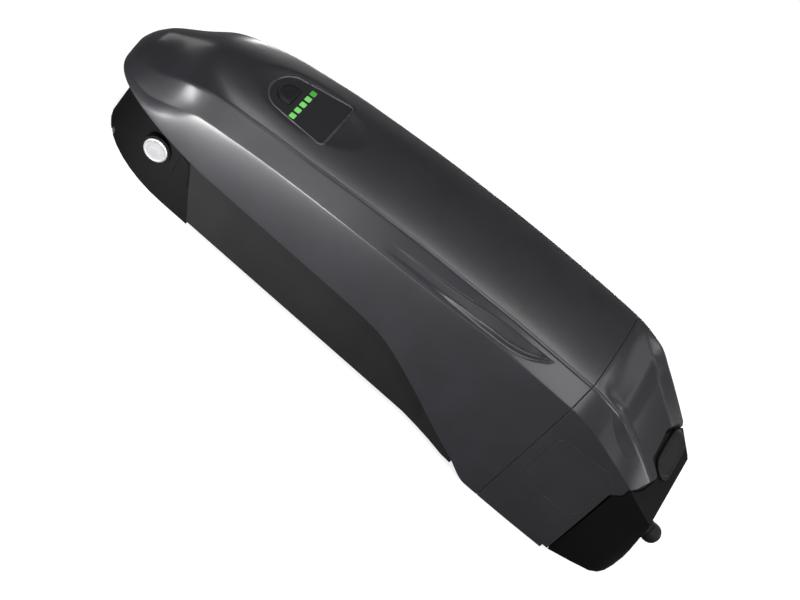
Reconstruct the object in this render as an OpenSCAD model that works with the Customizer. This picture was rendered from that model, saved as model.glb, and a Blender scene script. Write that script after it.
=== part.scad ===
// Removable battery pack of an electric bicycle, seated on the mount that bolts to the frame's down tube.
// X runs along the pack from its nose to the plug end, Y across it, Z away from the tube.
// The origin is the middle of the two frame bolts, on the plane where the mount meets the tube.

/* [Pack] */
// Length of the pack from nose to end lip
pack_l = 342; // [338:1:352]
// Width of the pack across its feet
pack_w = 84; // [83:1:90]
// Height of the crown over the mounting plane
pack_h = 103; // [102:1:108]
// Wall of the moulded shells
wall = 2.4; // [2:0.1:2.6]
// Depth of the long scoop in each flank
scoop_d = 2; // [1:0.1:2.4]
// Depth of the dish around the indicator panel
dish_d = 1.4; // [0.6:0.1:1.8]

/* [Cells] */
// Diameter of one cell
cell_d = 18.2; // [18:0.1:18.4]
// Room beyond each end of a cell, inside the lower shell's wall
cell_end_room = 1.16; // [1.1:0.02:1.6]
// Most cells in one row along the pack
cell_columns_most = 10; // [8:1:12]

/* [Mount] */
// Distance between the two frame bolts
boss_pitch = 64; // [58:1:74]
// Width of a bolt slot in the rail
slot_w = 5.4; // [5.2:0.1:6.6]
// End-to-end length of a bolt slot
slot_l = 12; // [9:0.5:16]
// Thickness of the rail
rail_t = 3; // [2.5:0.1:3.4]
// Width of the rail
rail_w = 40; // [36:1:44]

/* [Lock] */
// Diameter of the key cap's disc
key_cap_d = 14; // [12:0.5:15]
// Diameter of the turning lock barrel
barrel_d = 10; // [9:0.5:10.5]
// Travel of the lock bolt
bolt_travel = 8; // [6:0.5:9]

/* [Charging] */
// Length of the charge cap across the mount
charge_cap_l = 35; // [32:1:36]
// Width of the charge cap down the slope
charge_cap_w = 15; // [13:0.5:16]
// Diameter of the charge socket's opening
charge_bore_d = 8; // [7:0.5:8.5]
// Diameter of the cable gland
gland_d = 11; // [8:0.5:12]

/* [Indicator] */
// Length of the indicator panel along the pack
panel_l = 41; // [38:0.5:43]
// Width of the panel at its square end
panel_w = 38.5; // [37:0.5:40]
// Travel of the power button
button_travel = 0.8; // [0.4:0.1:1]

/* [Hidden] */
$fn = 48;

// Clearances and overruns shared by all pieces
seat_gap = 0.3;
fit_gap = 0.2;
close_gap = 0.1;
snug_gap = 0.05;
run_gap = 0.05;
skin_gap = 0.4;
over = 1;
small_corner = 0.5;
chip_corner = 0.25;
// Reach of the cuts and prisms that run clear of everything
far = 200;

// The pack's outer form: each row is a place along the pack, then heights and widths there, all as shares.
// Columns: place, ridge height, crown rise, flank crease height, ridge width, flank width, hollow of the end.
form_shares = [
    [0.000, 0.425, 0.015, 0.405, 0.70, 0.90, 0.000],
    [0.013, 0.452, 0.074, 0.410, 0.73, 0.92, 0.000],
    [0.029, 0.494, 0.096, 0.420, 0.74, 0.92, 0.000],
    [0.064, 0.568, 0.100, 0.440, 0.76, 0.90, 0.000],
    [0.105, 0.676, 0.072, 0.517, 0.77, 0.89, 0.000],
    [0.152, 0.742, 0.049, 0.617, 0.75, 0.91, 0.000],
    [0.219, 0.796, 0.039, 0.680, 0.77, 0.94, 0.000],
    [0.327, 0.857, 0.032, 0.728, 0.81, 0.96, 0.000],
    [0.520, 0.932, 0.030, 0.779, 0.82, 0.97, 0.000],
    [0.725, 0.969, 0.030, 0.834, 0.78, 0.93, 0.000],
    [0.825, 0.973, 0.026, 0.835, 0.76, 0.92, 0.000],
    [0.877, 0.945, 0.020, 0.801, 0.74, 0.92, 0.030],
    [0.915, 0.874, 0.012, 0.751, 0.70, 0.91, 0.045],
    [0.950, 0.797, 0.008, 0.700, 0.66, 0.89, 0.045],
    [1.000, 0.672, 0.005, 0.600, 0.63, 0.86, 0.040]
];
// Columns: place, half-width of the hem as a share of half the pack's width, hem height as a share of the height.
hem_shares = [
    [0.000, 0.920, 0.388],
    [0.210, 0.930, 0.388],
    [0.485, 0.930, 0.388],
    [0.541, 0.935, 0.380],
    [0.570, 0.945, 0.362],
    [0.602, 0.955, 0.322],
    [0.646, 0.965, 0.255],
    [0.678, 0.972, 0.200],
    [0.713, 0.985, 0.143],
    [0.754, 0.995, 0.080],
    [0.800, 1.000, 0.006],
    [0.860, 0.990, 0.006],
    [0.960, 0.950, 0.006],
    [1.000, 0.930, 0.006]
];
// How bluntly the nose rounds in plan: its length as a share of the pack, and two exponents
nose_share = 0.21;
nose_run_share = 1.5;
nose_blunt_share = 3.4;
// Where the shell and the end cap part
part_share = 0.825;
// Scoop: places where it starts, is deepest and ends
scoop_shares = [0.47, 0.70, 0.745, 0.757];
// Dish: centre and reach along the pack, reach as a share of half the width
dish_shares = [0.262, 0.100, 0.47];
// Crown, flank and skirt points over half a section, as shares across each strip
crown_shares = [0, 0.14, 0.28, 0.42, 0.55, 0.66, 0.74, 0.9, 1];
band_shares = [0.12, 0.28, 0.45, 0.62, 0.72, 1];
band_dip_shares = [0, 0.35, 0.9, 1, 0, 0];
side_shares = [0.3, 0.65, 1];
side_bulge_shares = [0.8, 0.8, 0];
side_bulge = 0.7;
bulge_mid_share = 0.75;
// Inner flat of the end hollow as a share of the ridge width
flat_share = 0.66;
slack_share = 0.0029;

nose_reach_share = 0.556;
nose_x = -nose_reach_share * pack_l;
part_x = nose_x + part_share * pack_l;
tip_x = nose_x + pack_l;

// Stretches of the mesh along the shell, closer where the form turns: start, end, rings, and how they crowd
stretch_shares = [
    [0.0012, 0.0762, 7, 2],
    [0.0762, 0.1712, 6, 1],
    [0.1712, 0.376, 16, 1],
    [0.376, 0.7428, 14, 1],
    [0.7428, 0.7644, 3, 1],
    [0.7644, part_share, 3, 1]
];
core_shares = [0.0075, part_share + slack_share, 20, 1.35];
cap_rings = 14;
function rings_of(s, first) = [for (k = [first:s[2]]) lerp(s[0], s[1], pow(k / s[2], s[3]))];
shell_places = concat([stretch_shares[0][0]], [for (s = stretch_shares) each rings_of(s, 1)]);
cap_places = [for (k = [0:cap_rings]) lerp(part_share, 1, k / cap_rings)];
core_places = rings_of(core_shares, 0);

function lerp(a, b, t) = a + (b - a) * t;
function clamp01(t) = min(1, max(0, t));
function smooth(t) = let (s = clamp01(t)) s * s * (3 - 2 * s);

// Monotone cubic through one column of a table
function pitch(t, c, i) = (t[i + 1][c] - t[i][c]) / (t[i + 1][0] - t[i][0]);
function knee(t, c, i) = i <= 0 ? pitch(t, c, 0) : i >= len(t) - 1 ? pitch(t, c, len(t) - 2)
    : let (a = pitch(t, c, i - 1), b = pitch(t, c, i)) a * b <= 0 ? 0 : 2 * a * b / (a + b);
function row_at(t, u, i = 0) = i >= len(t) - 2 || u < t[i + 1][0] ? i : row_at(t, u, i + 1);
function track(t, c, u) =
    let (i = row_at(t, u), h = t[i + 1][0] - t[i][0], s = clamp01((u - t[i][0]) / h))
    let (a = t[i][c], b = t[i + 1][c], p = knee(t, c, i) * h, q = knee(t, c, i + 1) * h)
    a + s * (p + s * (3 * (b - a) - 2 * p - q + s * (p + q - 2 * (b - a))));

// Form functions: u is the place as a share of the pack's length
function nose_round(u) = u >= nose_share ? 1
    : pow(1 - pow(1 - max(u, 0) / nose_share, nose_run_share), 1 / nose_blunt_share);
function hem_y(u) = pack_w / 2 * track(hem_shares, 1, u) * nose_round(u);
function hem_z(u) = pack_h * track(hem_shares, 2, u);
function ridge_y(u) = hem_y(u) * track(form_shares, 4, u);
function ridge_z(u) = pack_h * track(form_shares, 1, u);
function flank_y(u) = hem_y(u) * track(form_shares, 5, u);
function flank_z(u) = pack_h * track(form_shares, 3, u);
function crown_z(u) = ridge_z(u) + pack_h * track(form_shares, 2, u);
function place(u) = nose_x + u * pack_l;
function share_at(x) = (x - nose_x) / pack_l;
function hollow(u, s) = pack_h * track(form_shares, 6, u) * (1 - smooth((s - flat_share) / (1 - flat_share)));
function dish(u, y) =
    let (a = (u - dish_shares[0]) / dish_shares[1], b = y / (dish_shares[2] * pack_w / 2))
    dish_d * smooth(2 * (1 - sqrt(a * a + b * b)));
function scoop(u) = scoop_d * smooth((u - scoop_shares[0]) / (scoop_shares[1] - scoop_shares[0]))
    * (1 - smooth((u - scoop_shares[2]) / (scoop_shares[3] - scoop_shares[2])));

// Half of one section, from the crown's middle to the hem
function half_section(u, detail) =
    let (ry = ridge_y(u), rz = ridge_z(u), rise = crown_z(u) - rz, fy = flank_y(u), fz = flank_z(u))
    concat(
        [for (s = crown_shares)
            [s * ry, rz + rise * (1 - s * s) - hollow(u, s) - detail * dish(u, s * ry)]],
        [for (k = [0:len(band_shares) - 1]) let (s = band_shares[k])
            [lerp(ry, fy, s) - detail * scoop(u) * band_dip_shares[k], lerp(rz, fz, s)]],
        [for (k = [0:len(side_shares) - 1]) let (s = side_shares[k])
            [lerp(fy, hem_y(u), s) + side_bulge * side_bulge_shares[k] * nose_round(u), lerp(fz, hem_z(u), s)]]
    );
function ring(u) =
    let (half = half_section(u, 1), n = len(half), x = place(u))
    concat([for (i = [n - 1:-1:1]) [x, -half[i][0], half[i][1]]], [for (p = half) [x, p[0], p[1]]]);
// A coarser ring one wall inside the form, open below the hem
core_picks = [0, 2, 4, 6, 8, 10, 14, 17];
core_step = 0.11;
function core_ring(u, inset, floor_z) =
    let (v = u - inset / pack_l * (1 - u), half = half_section(max(v, slack_share), 0), x = place(u))
    let (picked = [for (i = core_picks) [max(half[i][0] - inset * min(1, i / 2), core_step * i), half[i][1] - inset]])
    let (last = picked[len(picked) - 1], low = [last[0], floor_z], all = concat(picked, [low]), n = len(all))
    concat([for (i = [n - 1:-1:1]) [x, -all[i][0], all[i][1]]], [for (p = all) [x, p[0], p[1]]]);

// A closed solid through rings of the same count
module skin(rings) {
    n = len(rings[0]);
    m = len(rings);
    polyhedron(
        points = [for (r = rings) each r],
        faces = concat(
            [[for (i = [0:n - 1]) n - 1 - i]],
            [for (k = [0:m - 2], i = [0:n - 1]) let (j = (i + 1) % n) each [
                [k * n + i, k * n + j, (k + 1) * n + j],
                [k * n + i, (k + 1) * n + j, (k + 1) * n + i]
            ]],
            [[for (i = [0:n - 1]) (m - 1) * n + i]]
        ),
        convexity = 6
    );
}

// Mirror image across the pack's middle plane beside the piece itself
module both_sides() {
    children();
    mirror([0, 1, 0])
        children();
}

// Upright prism between two heights over a plan outline
module upright(points, low, high) {
    translate([0, 0, low])
        linear_extrude(high - low)
            polygon(points);
}

// Prism across the pack over a side outline, given as [x, z] points
module across(points, width) {
    translate([0, width / 2, 0])
        rotate([90, 0, 0])
            linear_extrude(width)
                polygon(points);
}

// Flat bar with rounded corners, standing on z = 0
module bar(size, corner) {
    linear_extrude(size[2])
        bar_outline(size, corner);
}
module bar_outline(size, corner) {
    square([size[0] - 2 * corner, size[1]], center = true);
    square([size[0], size[1] - 2 * corner], center = true);
    for (sx = [-1, 1], sy = [-1, 1])
        translate([sx * (size[0] / 2 - corner), sy * (size[1] / 2 - corner)])
            circle(corner);
}
module block(low, high) {
    translate(low)
        cube(high - low);
}

// Sizes of the pack's lower shell
rim_gap = 0.6;
tray_wall = 2;
tray_edge = 0.8;
strip_share = 0.3;
strip_y = hem_y(strip_share) - wall - skin_gap - rim_gap;
tray_nose_inset = 7.68;
tray_x0 = nose_x + tray_nose_inset;
tray_end_share = 0.9502;
tray_x1 = place(tray_end_share);
tray_taper = 2;
tray_taper_share = 0.9;
tray_taper_x = place(tray_taper_share);
// The rim draws in under the low nose: extra inset there, and the shares over which it fades
nose_inset = 5.3;
nose_inset_shares = [0.07, 0.12];
tray_z0 = rail_t + seat_gap;
nose_floor_share = 0.375;
nose_floor_z = nose_floor_share * pack_h;
ramp_shares = [0.1775, 0.23];
ramp_top_x = place(ramp_shares[0]);
ramp_foot_x = place(ramp_shares[1]);
rim_share = 0.43;
rim_z = rim_share * pack_h;
seal_h = 3;
seal_t = 1.3;
groove_w = 26;
groove_d = 3.2;
tray_floor_z = tray_z0 + groove_d + wall;
// The plan is drawn through this many points, crowded to the nose, and stays this wide at least
tray_steps = 13;
tray_crowd_share = 1.8;
tray_least = 0.5;
// Slanted walls are thicker by this share when measured along the pack
slant_share = 1.1;
end_wall_share = 0.958;
end_wall_x = place(end_wall_share);
socket_depth = 9;
post_d = 7;

// Outline of the lower shell in plan, drawn in from the hem
function tray_draw(u) =
    wall + skin_gap + rim_gap + nose_inset * (1 - smooth((u - nose_inset_shares[0]) / nose_inset_shares[1]));
function tray_half(u, inset) = max(min(hem_y(u - inset / pack_l) - tray_draw(u), strip_y) - inset, tray_least);
function tray_plan(inset, x1) =
    let (us = [for (k = [0:tray_steps]) share_at(tray_x0 + inset) + nose_share * pow(k / tray_steps, tray_crowd_share)])
    let (tail = [[tray_taper_x, strip_y - inset], [x1 - inset, strip_y - tray_taper - inset]])
    let (side = concat([for (u = us) [place(u), tray_half(u, inset)]], tail), n = len(side))
    concat(side, [for (i = [n - 1:-1:0]) [side[i][0], -side[i][1]]]);
function ramp_x(z) = lerp(ramp_foot_x, ramp_top_x, (z - tray_z0) / (nose_floor_z - tray_z0));

// Sizes of the cell block
cell_gap = 0.8;
cell_pitch = cell_d + cell_gap;
row_step = cell_pitch * sin(60);
cell_z0 = tray_floor_z + seat_gap + cell_d / 2;
cell_share = 0.34;
cell_x0 = place(cell_share);
// Cells reach from one wall of the lower shell to the other, and fill the length and height that there is
cell_l = 2 * (strip_y - tray_wall - cell_end_room);
cell_headroom = 9;
post_room = 2.5;
strip_t = 0.3;
sheet_t = 0.4;
holder_t = 9;
holder_rim = 0.7;
nub_d = 6;
nub_h = 0.1;
cell_end_x = end_wall_x - socket_depth - wall - post_d - post_room - cell_d / 2 - holder_rim;
cell_columns = min(cell_columns_most, floor((cell_end_x - cell_x0) / cell_pitch + 1 / 2));
block_x0 = cell_x0 - cell_d / 2 - holder_rim;
cell_top_z = ridge_z(share_at(block_x0)) - cell_headroom - cell_d / 2;
cell_rows = floor((cell_top_z - cell_z0) / row_step) + 1;
block_x1 = cell_x0 + (cell_columns - 0.5) * cell_pitch + cell_d / 2 + holder_rim;
block_z0 = cell_z0 - cell_d / 2 - close_gap;
block_z1 = cell_z0 + (cell_rows - 1) * row_step + cell_d / 2 + holder_rim;
function cell_x(c, r) = cell_x0 + (c + (r % 2) / 2) * cell_pitch;
function cell_z(r) = cell_z0 + r * row_step;

// Sizes of the indicator panel, in its own tilted frame
panel_place = 0.251;
panel_x = place(panel_place);
panel_reach_share = 0.05;
panel_tilt = atan((crown_z(panel_place + panel_reach_share) - crown_z(panel_place - panel_reach_share))
    / (2 * panel_reach_share * pack_l));
panel_t = 1.8;
panel_sink = 0.35;
panel_z = crown_z(panel_place) - dish_d - panel_sink;
bezel_rim = 1;
bezel_h = 0.3;
seat_rim = 3;
seat_depth = 4.6;
ledge = 2;
board_t = 1.6;
board_drop = 8;
panel_nose_share = 0.77;
panel_corner = 3;
panel_arch_share = 0.28;
panel_corner_share = 0.5;
arch_steps = 8;
corner_steps = 5;

// Arched outline: blunt arch at the nose end, square end with rounded corners
function panel_outline(inset) =
    let (l = panel_l - 2 * inset, w = panel_w - 2 * inset, c = panel_corner - inset * panel_corner_share)
    let (half = concat(
        [for (k = [0:arch_steps]) let (a = k * 90 / arch_steps)
            [-l / 2 + l * panel_arch_share * (1 - cos(a)), w / 2 * panel_nose_share * sin(a)]],
        [for (k = [0:corner_steps]) let (a = 90 - k * 90 / corner_steps)
            [l / 2 - c + c * cos(a), w / 2 - c + c * sin(a)]]
    ), n = len(half))
    concat(half, [for (i = [n - 1:-1:1]) [half[i][0], -half[i][1]]]);
module on_panel() {
    translate([panel_x, 0, panel_z])
        rotate([0, -panel_tilt, 0])
            children();
}

// Sizes of the button and the charge lights on the panel
button_l = 9.5;
button_w = 15;
button_inset = 9.6;
button_x = -panel_l / 2 + button_inset;
button_rise = 0.9;
button_arch_share = 0.6;
led_count = 5;
led_pitch = 5.6;
led_l = 3.6;
led_w = 4.2;
led_reach = 9.8;
led_x = button_x + led_reach;
led_y = -0.9;
function button_outline(grow) =
    let (l = button_l + 2 * grow, w = button_w + 2 * grow)
    let (half = concat(
        [for (k = [0:arch_steps]) let (a = k * 90 / arch_steps)
            [-l / 2 + l * button_arch_share * (1 - cos(a)), w / 2 * sin(a)]],
        [[l / 2, w / 2]]
    ), n = len(half))
    concat(half, [for (i = [n - 1:-1:1]) [half[i][0], -half[i][1]]]);

// Sizes of the plug end
end_wall_in = end_wall_x - wall;
ledge_share = 0.602;
ledge_z = ledge_share * pack_h;
lip_rise_share = 0.045;
lip_rise = lip_rise_share * pack_h;
lip_gap = 0.8;
slope_angle = 35.8;
flat_end_shares = [0.971, 0.671];
flat_end_x = place(flat_end_shares[0]);
flat_end_z = flat_end_shares[1] * pack_h;
socket_w = 40;
socket_h = 22;
socket_share = 0.15;
socket_z = socket_share * pack_h;
socket_rim = 1.2;
plug_w = 34;
plug_h = 15;
plug_reach = 6;
plug_rise = 5;
plug_z = socket_z + plug_rise;
terminal_count = 6;
terminal_pitch = 5.2;
terminal_t = 0.8;
terminal_h = 9;
terminal_tail = 4.3;
terminal_proud = 0.5;
terminal_root = 7;
plug_root = 4;
foot_notch = 3;
lip_root = 17.1;
core_end_rings = 6;

// Plan of the lip at the plug end: a beak on the near side and the notch that the charge cap fills
lip_shares = [
    [0.900, -0.60], [0.956, -0.60], [0.962, -0.47], [0.981, -0.376], [0.991, -0.289], [1.0, -0.155],
    [1.0, -0.135], [0.9757, -0.125], [0.971, 0.146], [0.977, 0.215], [0.992, 0.355], [1.0, 0.43],
    [0.998, 0.60], [0.900, 0.60]
];
lip_plan = [for (p = lip_shares) [place(p[0]), p[1] * pack_w]];

// Sizes of the mount's two cases
case_share = 0.029;
case_x0 = place(case_share);
case_arc = 52;
case_width_share = 0.7905;
case_w = case_width_share * pack_w;
lid_gap = 0.8;
case_h = nose_floor_z - lid_gap;
case_t = 2.2;
case_gap = 1;
end_gap = 1.2;
low_x0 = end_wall_x + end_gap;
low_shares_x = [1.067, 1.038];
low_x1 = place(low_shares_x[0]);
low_top_x = place(low_shares_x[1]);
low_width_share = 0.881;
low_w = low_width_share * pack_w;
low_shares = [[0, 1], [0.38, 0.89], [0.68, 0.79], [0.8, 0.70], [0.88, 0.58], [0.95, 0.40], [0.985, 0.2], [1, 0]];
rail_nose_inset = 7;
rail_end_inset = 9;
rail_x0 = case_x0 + rail_nose_inset;
rail_x1 = low_x1 - rail_end_inset;
screw_d = 3;
screw_head_d = 5.4;
screw_head_h = 1.7;
screw_l = 9;
shell_post_shares = [0.072, 0.155];
shell_post_x = place(shell_post_shares[0]);
shell_post_y = shell_post_shares[1] * pack_w;
shell_screw_places = [for (s = [-1, 1]) [shell_post_x, s * shell_post_y]];
shell_post_h = crown_z(share_at(shell_post_x - post_d / 2)) - nose_floor_z - 2 * wall - seat_gap;

// Sizes of the lock
key_shares = [0.128, 0.257];
key_x = place(key_shares[0]);
key_z = key_shares[1] * pack_h;
lock_wall = 2;
lock_d = barrel_d + 2 * lock_wall;
lock_l = 24;
key_cap_t = 1.2;
key_cap_skirt = 2.2;
key_face_rise = 0.4;
key_face_y = case_w / 2 + key_face_rise;
key_seat_l = 8;
key_rim = 1;
key_slot_w = 1.8;
key_slot_l = 6;
keyhole_d = 3;
crank_r = bolt_travel / sqrt(2);
crank_t = 1.2;
crank_pin_d = 3;
bolt_w = 8;
bolt_h = 6.5;
bolt_l = 11;
bolt_arm_z = -2;
bolt_sink = 1.6;
bolt_x1 = ramp_x(key_z + bolt_h / 2) - case_gap - bolt_sink;
bolt_x0 = bolt_x1 - bolt_l;
yoke_x = key_x - crank_r / sqrt(2);
guide_wall = 1.6;

// Sizes of the charge port, in the frame of the end slope
charge_shares = [1.0025, 0.136];
charge_x = place(charge_shares[0]);
charge_y = charge_shares[1] * pack_w;
charge_cap_t = 2.6;
cap_base_share = 0.6;
cap_steps = [2.5, 3];
cap_flat = 0.25;
charge_shift = 1.5;
socket_wall = 1.6;
charge_boss_wall = 3.2;
charge_depth = 8;
charge_pin_d = 1.6;
charge_pin_tail = 2;
gland_share = 0.215;
gland_z = gland_share * pack_h;
gland_reach = 9.5;
gland_neck_share = 0.7;
gland_neck_d = gland_neck_share * gland_d;
gland_neck_l = 7.2;
gland_neck_in = 4.8;
gland_seat_x = lerp(low_x1, low_top_x, (gland_z - gland_d / 2) / slope_z(low_top_x)) + seat_gap;
function slope_z(x) = flat_end_z - (x - flat_end_x) * tan(slope_angle);
module on_slope() {
    translate([charge_x, charge_y, slope_z(charge_x)])
        rotate([0, slope_angle, 0])
            children();
}

// Upper shell of the pack
module upper_shell() {
    color("dimgray")
        difference() {
            union() {
                difference() {
                    skin([for (u = shell_places) ring(u)]);
                    skin([for (u = core_places) core_ring(u, wall, -far)]);
                }
                on_panel()
                    upright(panel_outline(-seat_rim), -seat_depth, -panel_t - fit_gap);
            }
            on_panel()
                upright(panel_outline(-close_gap), -panel_t - fit_gap, far);
            on_panel()
                upright(panel_outline(ledge), -far, far);
        }
    color("dimgray")
        for (p = shell_screw_places)
            translate([p[0], p[1], nose_floor_z + wall + seat_gap])
                difference() {
                    cylinder(d = post_d, h = shell_post_h);
                    translate([0, 0, -over])
                        cylinder(d = screw_d - snug_gap, h = screw_l + over);
                }
}

// Cap over the plug end of the pack
module end_cap() {
    color("#3a3a3e")
        difference() {
            skin([for (u = cap_places) ring(u)]);
            end_cap_core();
            across(under_lip(0), far);
            difference() {
                block([flat_end_x - lip_root, -pack_w, ledge_z - wall], [tip_x + wall, pack_w, far]);
                upright(lip_plan, 0, far);
            }
            block([end_wall_in - wall, -socket_w / 2 - fit_gap, socket_z - fit_gap],
                [end_wall_x + wall, socket_w / 2 + fit_gap, socket_z + socket_h + fit_gap]);
            block([end_wall_x - foot_notch, -pack_w, -over], [end_wall_x + wall, pack_w, foot_notch]);
            both_sides()
                leaf(0, close_gap, over);
            both_sides()
                side_plate(close_gap, over);
        }
    color("#3a3a3e")
        both_sides()
            difference() {
                union() {
                    translate([cap_post_x, cap_post_y, tray_floor_z + seat_gap])
                        cylinder(d = post_d, h = cap_post_top - tray_floor_z - seat_gap);
                    block([cap_post_x - wall / 2, cap_post_y, rim_z + over],
                        [cap_post_x + wall / 2, cap_rib_y, cap_post_top]);
                }
                translate([cap_post_x, cap_post_y, 0])
                    cylinder(d = screw_d - snug_gap, h = tray_floor_z + screw_l);
            }
}
// Side outline of the room under the lip, for the end wall and for the mount's case below it
function under_lip(gap) = [
    [end_wall_x, -pack_h], [end_wall_x, ledge_z - lip_rise - gap], [end_wall_x + lip_rise, ledge_z - gap],
    [tip_x + pack_w, ledge_z - gap], [tip_x + pack_w, -pack_h]
];
// Room inside the end cap, kept one wall below its skin
module end_cap_core() {
    us = [for (k = [0:core_end_rings]) lerp(part_share - slack_share, share_at(end_wall_in), k / core_end_rings)];
    skin([for (u = us) core_ring(u, wall, -far)]);
}
cap_post_x = block_x1 + post_d / 2 + post_room;
cap_post_y = strip_y - tray_taper - tray_wall - post_d / 2;
cap_post_share = 0.6;
cap_post_top = cap_post_share * pack_h;
cap_rib_y = side_y(share_at(cap_post_x), cap_post_top) - wall / 2;
cap_post_places = [for (s = [-1, 1]) [cap_post_x, s * cap_post_y]];

// Thin leaf-shaped inlay in the flank of the end cap
leaf_shares = [[0.868, 0.06], [0.872, 0.18], [0.883, 0.34], [0.898, 0.47], [0.914, 0.54], [0.934, 0.52],
    [0.942, 0.34], [0.94, 0.08], [0.90, 0.03]];
leaf_t = 0.9;
leaf_reach = 4.8;
leaf_out_shares = [0.85, 0.87, 0.89, 0.91, 0.93, 0.95];
leaf_in_shares = [0.84, 0.87, 0.89, 0.91, 0.93, 0.96];
function band_point(u, s) = [place(u), lerp(ridge_y(u), flank_y(u), s), lerp(ridge_z(u), flank_z(u), s)];
module leaf(sink, grow, proud) {
    points = [for (p = leaf_shares) let (b = band_point(p[0], p[1])) [b[0], b[2]]];
    intersection() {
        translate([0, pack_w, 0])
            rotate([90, 0, 0])
                linear_extrude(pack_w)
                    offset(delta = grow)
                        polygon(points);
        difference() {
            translate([0, proud, 0])
                skin([for (u = leaf_out_shares) leaf_ring(u)]);
            translate([0, -leaf_t - grow, 0])
                skin([for (u = leaf_in_shares) leaf_ring(u)]);
        }
    }
}
function leaf_ring(u) =
    let (a = band_point(u, 0), b = band_point(u, 1))
    [[a[0], 0, a[2] + leaf_reach], [a[0], a[1], a[2] + leaf_reach], a, b, [b[0], b[1], b[2] - leaf_reach],
        [b[0], 0, b[2] - leaf_reach]];

// Thin square plate with rounded corners on the side of the end cap
plate_l = 34;
plate_h = 38;
plate_t = 0.8;
plate_corner = 5;
plate_shares = [0.895, 0.485];
plate_place = plate_shares[0];
plate_z = plate_shares[1] * pack_h;
plate_lean = atan((hem_y(plate_place) - flank_y(plate_place)) / (flank_z(plate_place) - hem_z(plate_place)));
function side_y(u, z) = lerp(hem_y(u), flank_y(u), (z - hem_z(u)) / (flank_z(u) - hem_z(u))) 
    + side_bulge * bulge_mid_share;
module side_plate(grow, proud) {
    translate([place(plate_place), side_y(plate_place, plate_z), plate_z])
        rotate([90 + plate_lean, 0, 0])
            translate([0, 0, -proud])
                bar([plate_l + 2 * grow, plate_h + 2 * grow, plate_t + grow + proud], plate_corner + grow);
}

// Lower shell: raised under the nose, then a ramp down to the long floor
module lower_shell() {
    color("#26262a")
        difference() {
            union() {
                difference() {
                    tray_solid(0, rim_z);
                    tray_solid(tray_wall, far);
                    translate([0, 0, -over])
                        tray_rebate();
                    both_sides()
                        tray_chamfer();
                }
                strike_block();
                groove_roof();
                both_sides()
                    tray_flare();
            }
            block([ramp_foot_x + over, -groove_w / 2, -over], [tray_x1 + over, groove_w / 2, tray_z0 + groove_d]);
            block([tray_x1 - 2 * wall, -socket_w / 2 - fit_gap, socket_z - fit_gap],
                [tray_x1 + over, socket_w / 2 + fit_gap, socket_z + socket_h + fit_gap]);
            bolt_pocket();
            for (p = shell_screw_places)
                screw_hole(p, nose_floor_z);
            for (p = cap_post_places)
                screw_hole(p, tray_z0);
        }
}
module tray_solid(inset, top) {
    z0 = tray_z0 + inset;
    floor_z = nose_floor_z + inset;
    shift = inset * slant_share;
    intersection() {
        upright(tray_plan(inset, tray_x1), -over, far);
        across([
            [nose_x, floor_z], [ramp_top_x + shift, floor_z], [ramp_foot_x + shift, z0],
            [tray_x1 - inset, z0], [tray_x1 - inset, top], [nose_x, top]
        ], pack_w);
    }
}
// Wedge on each flank that widens the foot below the hood's falling hem: place and reach out of the wall
flare_shares = [[0.655, -0.2], [0.685, 0.06], [0.715, 0.42], [0.745, 0.92], [0.762, 1]];
flare_reach = 4.6;
flare_root = 1.3;
module tray_flare() {
    x0 = place(flare_shares[0][0]);
    x1 = place(flare_shares[len(flare_shares) - 1][0]);
    plan = concat([for (p = flare_shares) [place(p[0]), strip_y + flare_reach * p[1]]],
        [[x1, strip_y - flare_root], [x0, strip_y - flare_root]]);
    side = concat([for (p = flare_shares) [place(p[0]), hem_z(p[0]) - skin_gap]], [[x1, tray_z0], [x0, tray_z0]]);
    intersection() {
        upright(plan, tray_z0, pack_h);
        across(side, far);
    }
}
// Slanted cut along the tray's lower edge
module tray_chamfer() {
    translate([nose_x, strip_y - tray_edge, tray_z0])
        rotate([45, 0, 0])
            block([0, -over, -tray_wall], [pack_l, 2 * tray_edge + over, 0]);
}
// Step around the rim that holds the seal
module tray_rebate() {
    difference() {
        upright(tray_plan(-over, tray_x1 + wall), rim_z - seal_h, rim_z + wall);
        upright(tray_plan(seal_t, tray_x1), -over, pack_h);
    }
}
module groove_roof() {
    block([ramp_foot_x, -groove_w / 2 - wall, tray_z0 + tray_wall / 2],
        [tray_x1 - tray_wall / 2, groove_w / 2 + wall, tray_floor_z]);
}
// Thick pocket behind the ramp that the lock bolt enters
pocket_gap = 0.6;
pocket_spare = 3;
pocket_depth = bolt_travel + pocket_spare;
module strike_block() {
    intersection() {
        block([ramp_top_x, -bolt_w / 2 - 2 * wall, key_z - bolt_h / 2 - 2 * wall],
            [bolt_x1 + pocket_depth + 2 * wall, bolt_w / 2 + 2 * wall, key_z + bolt_h / 2 + 2 * wall]);
        across([[ramp_top_x, nose_floor_z], [ramp_foot_x, tray_z0], [tray_x1, tray_z0], [tray_x1, nose_floor_z]],
            pack_w);
    }
}
module bolt_pocket() {
    block([ramp_top_x - wall, -bolt_w / 2 - pocket_gap, key_z - bolt_h / 2 - pocket_gap],
        [bolt_x1 + pocket_depth, bolt_w / 2 + pocket_gap, key_z + bolt_h / 2 + pocket_gap]);
    strike_solid(close_gap, over);
}
module screw_hole(p, z) {
    translate([p[0], p[1], z - over])
        cylinder(d = screw_d + fit_gap, h = screw_l + wall);
    translate([p[0], p[1], z - over])
        cylinder(d = screw_head_d + fit_gap, h = screw_head_h + over);
}

// Seal in the step around the lower shell's rim
module shell_seal() {
    color("black")
        difference() {
            upright(tray_plan(snug_gap, tray_x1), rim_z - seal_h - over + close_gap, rim_z - over);
            upright(tray_plan(seal_t - snug_gap, tray_x1), 0, pack_h);
        }
}

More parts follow.
